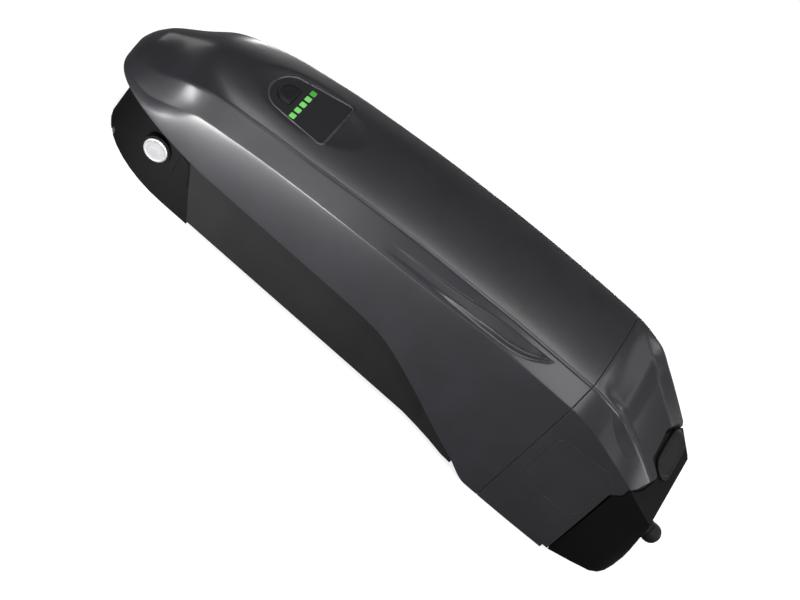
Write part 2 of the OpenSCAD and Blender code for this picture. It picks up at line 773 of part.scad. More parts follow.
// Metal plate around the mouth of the bolt pocket, sunk into the ramp
strike_l = 16;
strike_w = 20;
strike_t = 1;
ramp_lean = atan((ramp_foot_x - ramp_top_x) / (nose_floor_z - tray_z0));
module strike_solid(grow, proud) {
    translate([ramp_x(key_z), 0, key_z])
        rotate([0, -ramp_lean, 0])
            block([-proud, -strike_w / 2 - grow, -strike_l / 2 - grow], [strike_t + grow, strike_w / 2 + grow,
                strike_l / 2 + grow]);
}
module strike_plate() {
    color("silver")
        difference() {
            strike_solid(0, 0);
            block([ramp_top_x - wall, -bolt_w / 2 - pocket_gap, key_z - bolt_h / 2 - pocket_gap],
                [bolt_x1 + pocket_depth, bolt_w / 2 + pocket_gap, key_z + bolt_h / 2 + pocket_gap]);
        }
}

// Bright rim around the indicator panel
module indicator_bezel() {
    color("gray")
        on_panel()
            difference() {
                upright(panel_outline(0), -panel_t, bezel_h);
                upright(panel_outline(bezel_rim), -panel_t - over, bezel_h + over);
            }
}
// Panel face with openings for the button and the lights
module indicator_panel() {
    color("#1c1c20")
        on_panel()
            difference() {
                upright(panel_outline(bezel_rim + snug_gap), -panel_t, 0);
                translate([button_x, 0, 0])
                    upright(button_outline(fit_gap), -panel_t - over, over);
                led_bars(snug_gap, -panel_t - over, over);
            }
}
module led_bars(grow, low, high) {
    for (k = [0:led_count - 1])
        translate([led_x, led_y + (k - (led_count - 1) / 2) * led_pitch, low])
            bar([led_l + 2 * grow, led_w + 2 * grow, high - low], small_corner);
}
module led_windows() {
    color("limegreen")
        on_panel()
            led_bars(0, -panel_t, 0);
}
// Push button over the switch
module power_button() {
    color("#2c2c30")
        on_panel()
            translate([button_x, 0, 0]) {
                upright(button_outline(0), -panel_t, button_rise);
                translate([0, 0, -panel_t - stem_l])
                    cylinder(d = stem_d, h = stem_l + panel_t);
            }
}
stem_d = 3;
switch_h = 2.2;
switch_w = 6;
stem_l = board_drop - board_t - switch_h - panel_t + board_t - button_travel - close_gap;

// Small board under the panel, hung from the shell's seat on four pegs
peg_d = 3;
board_shares = [0.84, 0.72];
peg_shares_x = [-0.3, 0.36];
peg_share_y = 0.31;
module indicator_board() {
    color("darkgreen")
        on_panel() {
            translate([0, 0, -board_drop - board_t])
                bar([panel_l * board_shares[0], panel_w * board_shares[1], board_t], panel_corner);
            for (sx = peg_shares_x, sy = [-1, 1])
                translate([sx * panel_l, sy * peg_share_y * panel_w, -board_drop])
                    cylinder(d = peg_d, h = board_drop - seat_depth);
        }
}
chip_shares = [0.8, 0.7];
module led_chips() {
    color("white")
        on_panel()
            for (k = [0:led_count - 1])
                translate([led_x, led_y + (k - (led_count - 1) / 2) * led_pitch, -board_drop])
                    bar([led_l * chip_shares[0], led_w * chip_shares[1], board_t], chip_corner);
}
module button_switch() {
    color("darkgray")
        on_panel()
            translate([button_x, 0, -board_drop])
                bar([switch_w, switch_w, switch_h], small_corner);
}

// Round cells lying across the pack, in offset rows
module cells() {
    color("royalblue")
        for (r = [0:cell_rows - 1], c = [0:cell_columns - 1])
            cell([cell_x(c, r), cell_z(r)], c % 2 == 0 ? 1 : -1);
}
module cell(at, way) {
    translate([at[0], cell_l / 2, at[1]])
        rotate([90, 0, 0])
            cylinder(d = cell_d, h = cell_l);
    translate([at[0], way * cell_l / 2, at[1]])
        rotate([90, 0, 0])
            cylinder(d = nub_d, h = nub_h * 2, center = true);
}
// Ladder of rings that holds the cells' ends, scalloped between the rows
scallop_share = 0.55;
module cell_holder() {
    difference() {
        translate([0, cell_l / 2 - fit_gap, 0])
            rotate([90, 0, 0])
                linear_extrude(holder_t)
                    translate([(block_x0 + block_x1) / 2, (block_z0 + block_z1) / 2])
                        bar_outline([block_x1 - block_x0, block_z1 - block_z0], cell_d / 3);
        for (r = [0:cell_rows - 1], c = [0:cell_columns - 1])
            translate([cell_x(c, r), cell_l / 2 + over, cell_z(r)])
                rotate([90, 0, 0])
                    cylinder(d = cell_d + close_gap, h = holder_t + 2 * over);
        for (sx = [-1, 1])
            for (r = [0:1])
                translate([sx > 0 ? block_x1 : block_x0, 0, cell_z(2 * r + (sx > 0 ? 0 : 1))])
                    rotate([90, 0, 0])
                        cylinder(d = scallop_share * cell_pitch, h = pack_w, center = true);
    }
}
module cell_holder_near() {
    color("#e8e4d8")
        mirror([0, 1, 0])
            cell_holder();
}
module cell_holder_far() {
    color("#e8e4d8")
        cell_holder();
}

// Nickel strips that join the cells in groups: first is the column where pairing starts
strip_w = 7;
module bus_strips(first) {
    translate([0, cell_l / 2 + nub_h + strip_t, 0])
        rotate([90, 0, 0])
            linear_extrude(strip_t)
                for (c = [first:2:cell_columns - 1])
                    strip_outline(c, min(c + 1, cell_columns - 1));
}
module strip_outline(c0, c1) {
    for (c = [max(c0, 0):c1], r = [0:cell_rows - 1]) {
        translate([cell_x(c, r), cell_z(r)])
            circle(strip_w / 2);
        if (r > 0)
            translate([cell_x(c, r), cell_z(r)])
                rotate(r % 2 == 0 ? -60 : -120)
                    translate([0, -strip_w / 2])
                        square([cell_pitch, strip_w]);
    }
    if (c1 > max(c0, 0))
        for (r = [0:cell_rows - 1])
            translate([cell_x(max(c0, 0), r), cell_z(r) - strip_w / 2])
                square([cell_pitch, strip_w]);
}
module bus_strips_near() {
    color("silver")
        mirror([0, 1, 0])
            bus_strips(0);
}
module bus_strips_far() {
    color("silver")
        bus_strips(-1);
}
// Stiff sheets between the strips and the shell
module insulator_sheets() {
    color("khaki")
        both_sides()
            translate([0, cell_l / 2 + nub_h + strip_t + sheet_t, 0])
                rotate([90, 0, 0])
                    linear_extrude(sheet_t)
                        translate([(block_x0 + block_x1) / 2, (block_z0 + block_z1) / 2])
                            bar_outline([block_x1 - block_x0, block_z1 - block_z0 - over], cell_d / 2);
}
// Foam between the cell block and the crown of the shells
foam_w = 12;
foam_share = 0.2;
foam_skip = 2;
module foam_strips() {
    color("#404040")
        for (s = [-1, 1])
            across_foam(s * foam_share * pack_w);
}
foam_x0 = block_x0 + foam_skip * cell_pitch;
foam_x1 = part_x - wall;
foam_steps = 6;
function foam_top(x, y) = let (u = share_at(x), s = abs(y) / ridge_y(u))
    ridge_z(u) + (crown_z(u) - ridge_z(u)) * (1 - s * s) - wall - 2 * skin_gap;
module across_foam(y) {
    edge_y = abs(y) + foam_w / 2;
    points = concat(
        [[foam_x0, block_z1], [foam_x1, block_z1]],
        [for (k = [foam_steps:-1:0]) let (x = lerp(foam_x0, foam_x1, k / foam_steps)) [x, foam_top(x, edge_y)]]
    );
    translate([0, y, 0])
        across(points, foam_w);
}

// Protection board in the nose, on four posts that stand on the lower shell
ctrl_share = 0.106;
ctrl_x0 = place(ctrl_share);
ctrl_l = 60;
ctrl_w = 46;
ctrl_rise = 5;
ctrl_z = nose_floor_z + wall + ctrl_rise;
ctrl_post_places = [for (x = [ctrl_x0 + post_d, ramp_top_x - post_d], s = [-1, 1]) [x, s * (ctrl_w / 2 - post_d)]];
module control_board() {
    color("darkgreen") {
        translate([ctrl_x0 + ctrl_l / 2, 0, ctrl_z])
            bar([ctrl_l, ctrl_w, board_t], panel_corner);
        for (p = ctrl_post_places)
            translate([p[0], p[1], nose_floor_z + wall])
                cylinder(d = post_d - over, h = ctrl_z - nose_floor_z - wall);
    }
}
fin_count = 5;
fin_t = 1.6;
sink_l = 20;
sink_w = 34;
sink_h = 9;
sink_inset = 4;
sink_x = ctrl_x0 + ctrl_l - sink_l / 2 - sink_inset;
transistor_count = 4;
transistor_l = 9;
transistor_w = 6.8;
transistor_h = 2.4;
module heat_sink() {
    color("lightgray")
        translate([sink_x, 0, ctrl_z + board_t + transistor_h]) {
            bar([sink_l, sink_w, fin_t], over);
            for (k = [0:fin_count - 1])
                translate([(k - (fin_count - 1) / 2) * (sink_l - fin_t) / (fin_count - 1), 0, sink_h / 2])
                    cube([fin_t, sink_w, sink_h], center = true);
        }
}
module power_transistors() {
    color("#202020")
        for (k = [0:transistor_count - 1])
            translate([sink_x, (k - (transistor_count - 1) / 2) * sink_w / transistor_count, ctrl_z + board_t])
                bar([transistor_l, transistor_w, transistor_h], chip_corner);
}
fuse_d = 7;
fuse_l = 26;
fuse_share = 0.36;
fuse_x = ctrl_x0 + fuse_share * ctrl_l;
clip_t = 1;
clip_l = 3;
clip_h = 3;
module main_fuse() {
    color("ivory")
        translate([fuse_x, fuse_l / 2, ctrl_z + board_t + clip_h + fuse_d / 2])
            rotate([90, 0, 0])
                cylinder(d = fuse_d, h = fuse_l);
}
module fuse_clips() {
    color("goldenrod")
        for (s = [-1, 1])
            difference() {
                translate([fuse_x, s * (fuse_l / 2 - clip_l), ctrl_z + board_t + clip_h])
                    cube([fuse_d + 2 * clip_t, clip_l, 2 * clip_h], center = true);
                translate([fuse_x, fuse_l, ctrl_z + board_t + clip_h + fuse_d / 2])
                    rotate([90, 0, 0])
                        cylinder(d = fuse_d + snug_gap, h = fuse_l * 2);
            }
}

// Socket in the end wall and its flat contacts
module pack_socket() {
    color("#151518")
        difference() {
            block([end_wall_x - socket_depth - wall, -socket_w / 2, socket_z],
                [end_wall_x - fit_gap, socket_w / 2, socket_z + socket_h]);
            block([end_wall_x - socket_depth, -socket_w / 2 + socket_rim, socket_z + socket_rim],
                [end_wall_x + over, socket_w / 2 - socket_rim, socket_z + socket_h - socket_rim]);
            terminal_bars(end_wall_x - socket_depth - wall - over, end_wall_x, snug_gap, plug_z + plug_h / 2);
        }
}
module terminal_bars(x0, x1, grow, z) {
    for (k = [0:terminal_count - 1])
        translate([(x0 + x1) / 2, (k - (terminal_count - 1) / 2) * terminal_pitch, z])
            cube([x1 - x0, terminal_t + 2 * grow, terminal_h + 2 * grow], center = true);
}
module pack_terminals() {
    color("gold")
        terminal_bars(end_wall_x - socket_depth - terminal_tail, end_wall_x - socket_depth + terminal_proud, 0,
            plug_z + plug_h / 2);
}
// Flat-headed screw, its head flush above the height given
head_lap = 0.5;
module screw(p, z) {
    translate([p[0], p[1], z + close_gap])
        cylinder(d = screw_head_d, h = screw_head_h - close_gap);
    translate([p[0], p[1], z + screw_head_h - head_lap])
        cylinder(d = screw_d - snug_gap, h = screw_l - screw_head_h);
}
// Screws through the nose floor into the upper shell, and through the tray into the end cap
module shell_screws() {
    color("silver")
        for (p = shell_screw_places)
            screw(p, nose_floor_z);
}
module end_cap_screws() {
    color("silver")
        for (p = cap_post_places)
            screw(p, tray_z0);
}
module cap_inlays() {
    color("#2a2a2e")
        both_sides()
            leaf(0, 0, 0);
}
module side_plates() {
    color("#222226")
        both_sides()
            side_plate(0, 0);
}

// Metal rail that bolts to the frame and carries both cases
module mount_rail() {
    color("silver")
        difference() {
            translate([(rail_x0 + rail_x1) / 2, 0, 0])
                bar([rail_x1 - rail_x0, rail_w, rail_t], rail_corner);
            for (s = [-1, 1])
                translate([s * boss_pitch / 2, 0, -over])
                    slot_cut();
            for (p = rail_screw_places)
                translate([p[0], p[1], -over]) {
                    cylinder(d = screw_d + fit_gap, h = rail_t + 2 * over);
                    cylinder(d = screw_head_d + fit_gap, h = screw_head_h + over);
                }
        }
}
module slot_cut() {
    for (s = [-1, 1])
        translate([s * (slot_l - slot_w) / 2, 0, 0])
            cylinder(d = slot_w, h = rail_t + 2 * over);
    translate([0, 0, rail_t / 2 + over])
        cube([slot_l - slot_w, slot_w, rail_t + 2 * over], center = true);
}
rail_corner = 6;
key_screw_inset = 16;
low_screw_inset = 22;
key_screw_x = case_x0 + key_screw_inset;
low_screw_x = low_x0 + low_screw_inset;
rail_screw_y = rail_w / 2 - post_d / 2 - over;
rail_screw_places = [for (x = [key_screw_x, low_screw_x], s = [-1, 1]) [x, s * rail_screw_y]];
module rail_screws() {
    color("dimgray")
        for (p = rail_screw_places)
            screw(p, -close_gap);
}

// Case of the lock, under the nose of the pack
key_arc_steps = 10;
function key_plan(inset) =
    let (side = concat(
        [for (k = [0:key_arc_steps]) let (a = k * 90 / key_arc_steps)
            [case_x0 + case_arc - (case_arc - inset) * cos(a), (case_w / 2 - inset) * sin(a)]],
        [[ramp_foot_x, case_w / 2 - inset]]
    ), n = len(side))
    concat(side, [for (i = [n - 1:-1:1]) [side[i][0], -side[i][1]]]);
module key_case_solid(inset, z0) {
    top = case_h - inset;
    x_top = ramp_x(case_h) - case_gap - inset * slant_share;
    x_foot = ramp_x(0) - case_gap - inset * slant_share;
    intersection() {
        upright(key_plan(inset), z0, top);
        across([[case_x0 - over, z0], [x_foot, z0], [x_foot, 0], [x_top, case_h], [case_x0 - over, case_h]],
            pack_w);
    }
}
module key_case() {
    color("#17171a")
        difference() {
            union() {
                difference() {
                    key_case_solid(0, 0);
                    key_case_solid(case_t, -over);
                }
                intersection() {
                    key_case_solid(0, 0);
                    union() {
                        key_boss();
                        for (s = [-1, 1])
                            translate([key_screw_x, s * rail_screw_y, rail_t])
                                cylinder(d = post_d, h = case_h);
                    }
                }
                key_face();
            }
            key_bores();
            rail_pocket();
            block([bolt_x0, -bolt_w / 2 - fit_gap, key_z - bolt_h / 2 - fit_gap],
                [ramp_foot_x, bolt_w / 2 + fit_gap, key_z + bolt_h / 2 + fit_gap]);
            block([yoke_x, -bolt_w / 2 - fit_gap, key_z],
                [bolt_x0 + over + bolt_travel + seat_gap, bolt_w / 2 + fit_gap, yoke_top + fit_gap]);
            for (s = [-1, 1])
                translate([key_screw_x, s * rail_screw_y, 0])
                    cylinder(d = screw_d - snug_gap, h = screw_l + over);
            guide_cover_solid(close_gap, over);
        }
}
module rail_pocket() {
    translate([(rail_x0 + rail_x1) / 2, 0, -over])
        bar([rail_x1 - rail_x0 + 2 * fit_gap, rail_w + 2 * fit_gap, rail_t + over + snug_gap], rail_corner);
}
// Thick seat in the near wall that carries the lock housing
module key_boss() {
    translate([key_x, -key_face_y + key_seat_l, key_z])
        rotate([90, 0, 0])
            cylinder(d = lock_d + 2 * case_t, h = pack_w);
}
module key_face() {
    translate([key_x, -key_face_y + key_seat_l, key_z])
        rotate([90, 0, 0])
            cylinder(d = key_cap_d + 2 * key_rim, h = key_seat_l);
}
module key_bores() {
    translate([key_x, 0, key_z])
        rotate([90, 0, 0]) {
            translate([0, 0, -lock_l])
                cylinder(d = lock_d + 2 * run_gap, h = lock_l - barrel_face_y + fit_gap);
            cylinder(d = key_mouth_d, h = pack_w);
            translate([0, 0, key_face_y - fit_gap])
                cylinder(d = key_cap_d + fit_gap, h = pack_w);
        }
}
key_mouth_d = barrel_d + fit_gap;
barrel_sink = 3.2;
barrel_face_y = -key_face_y + barrel_sink;
lock_in_y = barrel_face_y + lock_l;

// Fixed housing of the lock and the barrel that turns in it
module lock_housing() {
    color("darkgray")
        translate([key_x, lock_in_y, key_z])
            rotate([90, 0, 0])
                difference() {
                    cylinder(d = lock_d, h = lock_l);
                    translate([0, 0, -over])
                        cylinder(d = barrel_d + 2 * run_gap, h = lock_l + 2 * over);
                }
}
// Barrel with a keyway in front and a crank disc with its pin behind
module lock_barrel() {
    color("silver") {
        translate([key_x, lock_in_y, key_z])
            rotate([90, 0, 0])
                difference() {
                    cylinder(d = barrel_d, h = lock_l);
                    translate([-key_slot_w / 2, -key_slot_l / 2, lock_l / 2])
                        cube([key_slot_w, key_slot_l, lock_l]);
                    translate([0, 0, lock_l / 2])
                        cylinder(d = keyhole_d, h = lock_l);
                }
        translate([key_x, lock_in_y + crank_t + fit_gap, key_z])
            rotate([90, 0, 0])
                cylinder(d = 2 * crank_r + crank_pin_d, h = crank_t);
        translate([key_x, lock_in_y + crank_t, key_z])
            rotate([90, 0, 0])
                cylinder(d = barrel_d - over, h = crank_t + over);
        translate([yoke_x, bolt_w / 2 - over, key_z + crank_r / sqrt(2)])
            rotate([90, 0, 0])
                cylinder(d = crank_pin_d, h = bolt_w / 2 - over - lock_in_y - crank_t);
    }
}
// Round cap over the keyway, with a short skirt inside the mouth
module key_cap() {
    color("#d8d8da")
        translate([key_x, -key_face_y, key_z])
            rotate([90, 0, 0]) {
                translate([0, 0, close_gap])
                    cylinder(d = key_cap_d, h = key_cap_t);
                translate([0, 0, -key_cap_skirt])
                    difference() {
                        cylinder(d = key_mouth_d - 2 * fit_gap, h = key_cap_skirt + key_cap_t);
                        translate([0, 0, -over])
                            cylinder(d = key_mouth_d - 2 * fit_gap - 2 * over, h = key_cap_skirt);
                    }
            }
}
// Bolt that slides out of the case into the pack's strike
module lock_bolt() {
    color("lightgray")
        difference() {
            union() {
                block([bolt_x0, -bolt_w / 2, key_z - bolt_h / 2], [bolt_x1, bolt_w / 2, key_z + bolt_h / 2]);
                block([yoke_x - yoke_l / 2, -bolt_w / 2, key_z + bolt_arm_z],
                    [bolt_x0 + over, bolt_w / 2, yoke_top]);
            }
            block([yoke_x - crank_pin_d / 2 - seat_gap, -bolt_w, key_z + (crank_r - crank_pin_d) / sqrt(2) + seat_gap],
                [yoke_x + crank_pin_d / 2 + seat_gap, bolt_w, key_z + bolt_h * 2]);
            translate([bolt_x1 - bolt_h * bolt_point_share, -bolt_w, key_z + bolt_h / 2])
                rotate([0, 45, 0])
                    cube([bolt_h, bolt_w * 2, bolt_h]);
        }
}
yoke_l = 8;
yoke_top = key_z + crank_r + crank_pin_d / 2 + fit_gap;
bolt_point_share = 0.35;
// Open-topped channel that the bolt slides in, hung from the case's roof
module bolt_guide() {
    color("gray")
        difference() {
            block([guide_x0, -bolt_w / 2 - guide_wall, key_z - bolt_h / 2 - guide_wall],
                [guide_x1, bolt_w / 2 + guide_wall, case_h - case_t]);
            block([guide_x0 - over, -bolt_w / 2 - run_gap, key_z - bolt_h / 2 - run_gap],
                [guide_x1 + over, bolt_w / 2 + run_gap, case_h]);
        }
}
guide_x0 = key_x + crank_r + crank_pin_d / 2 + over;
guide_x1 = ramp_x(case_h) - case_gap - case_t - 2 * seat_gap;
// Thin plate beside the slanted end of the key case
cover_t = 1;
cover_proud = 0.2;
cover_shares = [[0.162, 0.345], [0.166, 0.215], [0.176, 0.195], [0.198, 0.19], [0.19, 0.265], [0.178, 0.325]];
module guide_cover_solid(grow, proud) {
    points = [for (p = cover_shares) [place(p[0]), p[1] * pack_h]];
    translate([0, -case_w / 2 + cover_t + grow, 0])
        rotate([90, 0, 0])
            linear_extrude(cover_t + grow + proud)
                offset(delta = grow)
                    polygon(points);
}
module guide_cover() {
    color("#202024")
        guide_cover_solid(0, cover_proud);
}

// Case at the plug end of the mount, its sloping wall measured upright by the share below
slope_wall_share = 1.3;
function low_plan(inset) =
    let (l = low_x1 - low_x0)
    let (side = [for (p = low_shares) [low_x0 + (l - inset) * p[0], max(low_w / 2 * p[1] - inset, 0)]], n = len(side))
    concat(side, [for (i = [n - 2:-1:0]) [side[i][0], -side[i][1]]]);
module low_solid(inset, z0) {
    z1 = slope_z(low_top_x) - inset;
    intersection() {
        upright(low_plan(inset), z0, pack_h);
        across([
            [low_x0 + inset, z0], [low_x1 - inset, z0], [low_top_x - inset, z1],
            [low_x0 + inset, slope_z(low_x0) - inset * slope_wall_share]
        ], pack_w);
    }
}
module lower_case() {
    color("#141417")
        difference() {
            union() {
                difference() {
                    low_solid(0, 0);
                    difference() {
                        low_solid(case_t, -over);
                        block([low_x0 - over, -pack_w, ledge_z - lip_gap - case_t], [low_x1, pack_w, pack_h]);
                    }
                }
                intersection() {
                    low_solid(0, 0);
                    union() {
                        for (s = [-1, 1])
                            translate([low_screw_x, s * rail_screw_y, rail_t])
                                cylinder(d = post_d, h = pack_h);
                        on_slope()
                            translate([charge_shift, 0, -charge_depth - socket_wall])
                                cylinder(d = charge_bore_d + 2 * charge_boss_wall, h = charge_depth + socket_wall);
                    }
                }
            }
            lip_room();
            on_slope()
                translate([charge_shift, 0, -charge_depth - charge_boss_wall - socket_wall])
                    cylinder(d = charge_bore_d + 2 * socket_wall + 2 * run_gap, h = far);
            rail_pocket();
            block([low_x0 - over, -plug_w / 2, plug_z], [low_x0 + case_t + over, plug_w / 2, plug_z + plug_h]);
            translate([low_top_x - wall, 0, gland_z])
                rotate([0, 90, 0])
                    cylinder(d = gland_neck_d + 2 * run_gap, h = far);
            for (s = [-1, 1])
                translate([low_screw_x, s * rail_screw_y, 0])
                    cylinder(d = screw_d - snug_gap, h = screw_l + over);
        }
}
// Room for the pack's lip over the case
module lip_room() {
    difference() {
        translate([0, 0, ledge_z - lip_rise - 2 * lip_gap])
            linear_extrude(pack_h)
                offset(delta = lip_gap)
                    polygon(lip_plan);
        across(under_lip(lip_gap), far);
    }
}
// Plug block that stands in the pack's socket, and its contacts
module mount_plug() {
    color("#101012")
        difference() {
            block([end_wall_x - plug_reach, -plug_w / 2 + close_gap, plug_z + close_gap],
                [low_x0 + case_t + plug_root, plug_w / 2 - close_gap, plug_z + plug_h - close_gap]);
            terminal_bars(end_wall_x - plug_reach - over, low_x0 + case_t + plug_root + over, snug_gap,
                plug_z + plug_h / 2);
        }
}
module mount_terminals() {
    color("gold")
        terminal_bars(end_wall_x - socket_depth + terminal_proud + fit_gap, low_x0 + case_t + terminal_root, 0,
            plug_z + plug_h / 2);
}

// Charge socket under the cap, its pins and the rubber cap itself
module charge_socket() {
    color("#1a1a1c")
        on_slope()
            translate([charge_shift, 0, -charge_depth - socket_wall])
                difference() {
                    cylinder(d = charge_bore_d + 2 * socket_wall, h = charge_depth + socket_wall);
                    translate([0, 0, socket_wall])
                        cylinder(d = charge_bore_d, h = charge_depth + over);
                    charge_pin_places()
                        translate([0, 0, -over])
                            cylinder(d = charge_pin_d + 2 * run_gap, h = socket_wall + 2 * over);
                }
}
module charge_pin_places() {
    for (s = [-1, 1])
        translate([0, s * charge_bore_d / 4, 0])
            children();
}
module charge_pins() {
    color("gold")
        on_slope()
            translate([charge_shift, 0, -charge_depth - socket_wall])
                charge_pin_places()
                    translate([0, 0, -charge_pin_tail])
                        cylinder(d = charge_pin_d, h = charge_depth);
}
module charge_cap() {
    color("#242427")
        on_slope() {
            translate([0, 0, fit_gap])
                bar([charge_cap_w, charge_cap_l, cap_base_share * charge_cap_t], charge_cap_w / 2 - cap_flat);
            translate([0, 0, charge_cap_t / 2])
                bar([charge_cap_w - cap_steps[0], charge_cap_l - cap_steps[1], charge_cap_t / 2],
                    (charge_cap_w - cap_steps[0]) / 2 - cap_flat);
        }
}
// Rubber gland for the motor cable
module cable_gland() {
    color("#1c1c1e")
        translate([0, 0, gland_z])
            rotate([0, 90, 0]) {
                translate([0, 0, gland_seat_x - gland_neck_in])
                    cylinder(d = gland_neck_d, h = gland_neck_l);
                translate([0, 0, gland_seat_x])
                    cylinder(d = gland_d, h = gland_reach - gland_d / 2);
                translate([0, 0, gland_seat_x + gland_reach - gland_d / 2])
                    sphere(d = gland_d);
            }
}

upper_shell();
end_cap();
lower_shell();
shell_seal();
indicator_bezel();
indicator_panel();
led_windows();
power_button();
indicator_board();
led_chips();
button_switch();
cells();
cell_holder_near();
cell_holder_far();
bus_strips_near();
bus_strips_far();
insulator_sheets();
control_board();
heat_sink();
power_transistors();
main_fuse();
fuse_clips();
foam_strips();
pack_socket();
pack_terminals();
strike_plate();
shell_screws();
end_cap_screws();
cap_inlays();
side_plates();
mount_rail();
key_case();
lock_housing();
lock_barrel();
key_cap();
lock_bolt();
bolt_guide();
guide_cover();
lower_case();
mount_plug();
mount_terminals();
charge_socket();
charge_pins();
charge_cap();
cable_gland();
rail_screws();
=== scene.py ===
"""Looks of a removable electric bicycle battery on its down-tube mount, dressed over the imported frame.

Each piece that shows is made finer here than in the solids: the hood and its end cap are lofted from smooth
sections, trimmed and rounded, and every finish is made of nodes.
"""

import math

import bmesh
import bpy
from bpy.props import FloatProperty, FloatVectorProperty, IntProperty, PointerProperty
from mathutils import Matrix, Vector


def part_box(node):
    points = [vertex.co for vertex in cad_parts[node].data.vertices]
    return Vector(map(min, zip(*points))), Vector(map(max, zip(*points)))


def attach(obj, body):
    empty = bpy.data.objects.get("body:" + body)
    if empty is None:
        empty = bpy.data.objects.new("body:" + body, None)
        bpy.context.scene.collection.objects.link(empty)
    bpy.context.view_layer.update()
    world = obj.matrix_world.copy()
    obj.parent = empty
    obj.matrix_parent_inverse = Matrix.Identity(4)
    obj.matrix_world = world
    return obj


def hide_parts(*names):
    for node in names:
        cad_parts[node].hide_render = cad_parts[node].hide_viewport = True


bl_info = {
    "name": "Down-tube battery",
    "version": (1, 0, 0),
    "blender": (4, 5, 0),
    "location": "View3D > Sidebar > Battery",
    "description": "Dresses the packed solids of an electric bicycle battery and its mount",
    "category": "Object",
}

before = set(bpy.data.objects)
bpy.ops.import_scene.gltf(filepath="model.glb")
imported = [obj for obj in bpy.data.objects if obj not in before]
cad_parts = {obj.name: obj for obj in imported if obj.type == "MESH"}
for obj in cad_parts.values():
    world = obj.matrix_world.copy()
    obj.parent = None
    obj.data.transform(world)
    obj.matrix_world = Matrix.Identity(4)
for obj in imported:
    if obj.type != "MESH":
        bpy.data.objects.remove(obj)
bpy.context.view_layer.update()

MM = 0.001

# Millimetres within which points of a new skin, and of a kept solid, are one; a kept solid's sharp angle
SKIN_MERGE = 0.002
NODE_WELD = 0.01
NODE_SHARP = 32


# Sizes and colours that a user would change

class PackSizes(bpy.types.PropertyGroup):
    """Sizes of the pack, in metres."""

    length: FloatProperty(name="Length", description="From the nose to the end lip", default=0.342,
                          unit="LENGTH")
    width: FloatProperty(name="Width", description="Across the feet", default=0.084, unit="LENGTH")
    height: FloatProperty(name="Height", description="Crown over the mounting plane", default=0.103,
                          unit="LENGTH")
    wall: FloatProperty(name="Wall", description="Wall of the moulded shells", default=0.0024, unit="LENGTH")
    scoop: FloatProperty(name="Scoop", description="Depth of the long scoop in each flank", default=0.0026,
                         unit="LENGTH")
    dish: FloatProperty(name="Dish", description="Depth of the dish around the panel", default=0.0018,
                        unit="LENGTH")
    ridge_round: FloatProperty(name="Ridge rounding", description="Reach of the rounding on the upper ridges",
                               default=0.0013, unit="LENGTH")
    crease_round: FloatProperty(name="Crease rounding", default=0.0005, unit="LENGTH",
                                description="Reach of the rounding on the flank creases")
    seam: FloatProperty(name="Seam", description="Gap where the hood meets the end cap", default=0.0002,
                        unit="LENGTH")


class PanelSizes(bpy.types.PropertyGroup):
    """Sizes of the indicator panel, in metres."""

    length: FloatProperty(name="Length", description="Along the pack", default=0.041, unit="LENGTH")
    width: FloatProperty(name="Width", description="At the square end", default=0.0385, unit="LENGTH")
    thickness: FloatProperty(name="Thickness", description="Of the panel face", default=0.0018, unit="LENGTH")
    rim: FloatProperty(name="Rim", description="Width of the bright rim", default=0.0012, unit="LENGTH")
    rim_height: FloatProperty(name="Rim height", description="Of the rim over the face", default=0.0005,
                              unit="LENGTH")
    lamps: IntProperty(name="Lamps", description="Charge lamps in the row", default=5, min=1)
    lamp_pitch: FloatProperty(name="Lamp pitch", description="Between lamps", default=0.0056, unit="LENGTH")
    button_rise: FloatProperty(name="Button rise", description="Height of the button over the face",
                               default=0.0009, unit="LENGTH")


class FinishColours(bpy.types.PropertyGroup):
    """Main colours of the moulded and metal pieces."""

    hood: FloatVectorProperty(name="Hood", description="Satin shell", subtype="COLOR", size=3,
                              default=(0.0230, 0.0224, 0.0262))
    tray: FloatVectorProperty(name="Tray", description="Lower shell", subtype="COLOR", size=3,
                              default=(0.0135, 0.0133, 0.0142))
    mount: FloatVectorProperty(name="Mount", description="Cases of the mount", subtype="COLOR", size=3,
                               default=(0.0038, 0.0038, 0.0040))
    rim: FloatVectorProperty(name="Rim", description="Rim of the panel", subtype="COLOR", size=3,
                             default=(0.34, 0.34, 0.36))
    lamp: FloatVectorProperty(name="Lamp", description="Lit charge lamp", subtype="COLOR", size=3,
                              default=(0.10, 0.72, 0.06))
    key_disc: FloatVectorProperty(name="Key disc", description="Cap over the keyway", subtype="COLOR", size=3,
                                  default=(0.78, 0.78, 0.80))
    sleeve: FloatVectorProperty(name="Cell sleeve", description="Shrink sleeve of a cell", subtype="COLOR",
                                size=3, default=(0.03, 0.12, 0.30))


class StageSettings(bpy.types.PropertyGroup):
    """Camera, floor and lights."""

    azimuth: FloatProperty(name="Azimuth", description="Camera's turn about the upright axis",
                           default=math.radians(-3.989), subtype="ANGLE")
    elevation: FloatProperty(name="Elevation", description="Camera's height angle",
                             default=math.radians(43.406), subtype="ANGLE")
    roll: FloatProperty(name="Roll", description="Camera's turn about its own axis",
                        default=math.radians(-44.148), subtype="ANGLE")
    distance: FloatProperty(name="Distance", description="From the target to the camera", default=1.1873,
                            unit="LENGTH")
    lens: FloatProperty(name="Lens", description="Focal length in millimetres", default=103.5)
    floor: FloatVectorProperty(name="Floor", description="Colour of the floor", subtype="COLOR", size=3,
                               default=(0.94, 0.94, 0.94))
    bounce: FloatProperty(name="Bounce", description="Share of the floor's light that reaches the object",
                          default=0.18, min=0, max=1, subtype="FACTOR")


# Plain arithmetic

def lerp(a, b, t):
    return a + (b - a) * t


def clamp(t, low=0.0, high=1.0):
    return min(high, max(low, t))


def smooth(t):
    s = clamp(t)
    return s * s * (3 - 2 * s)


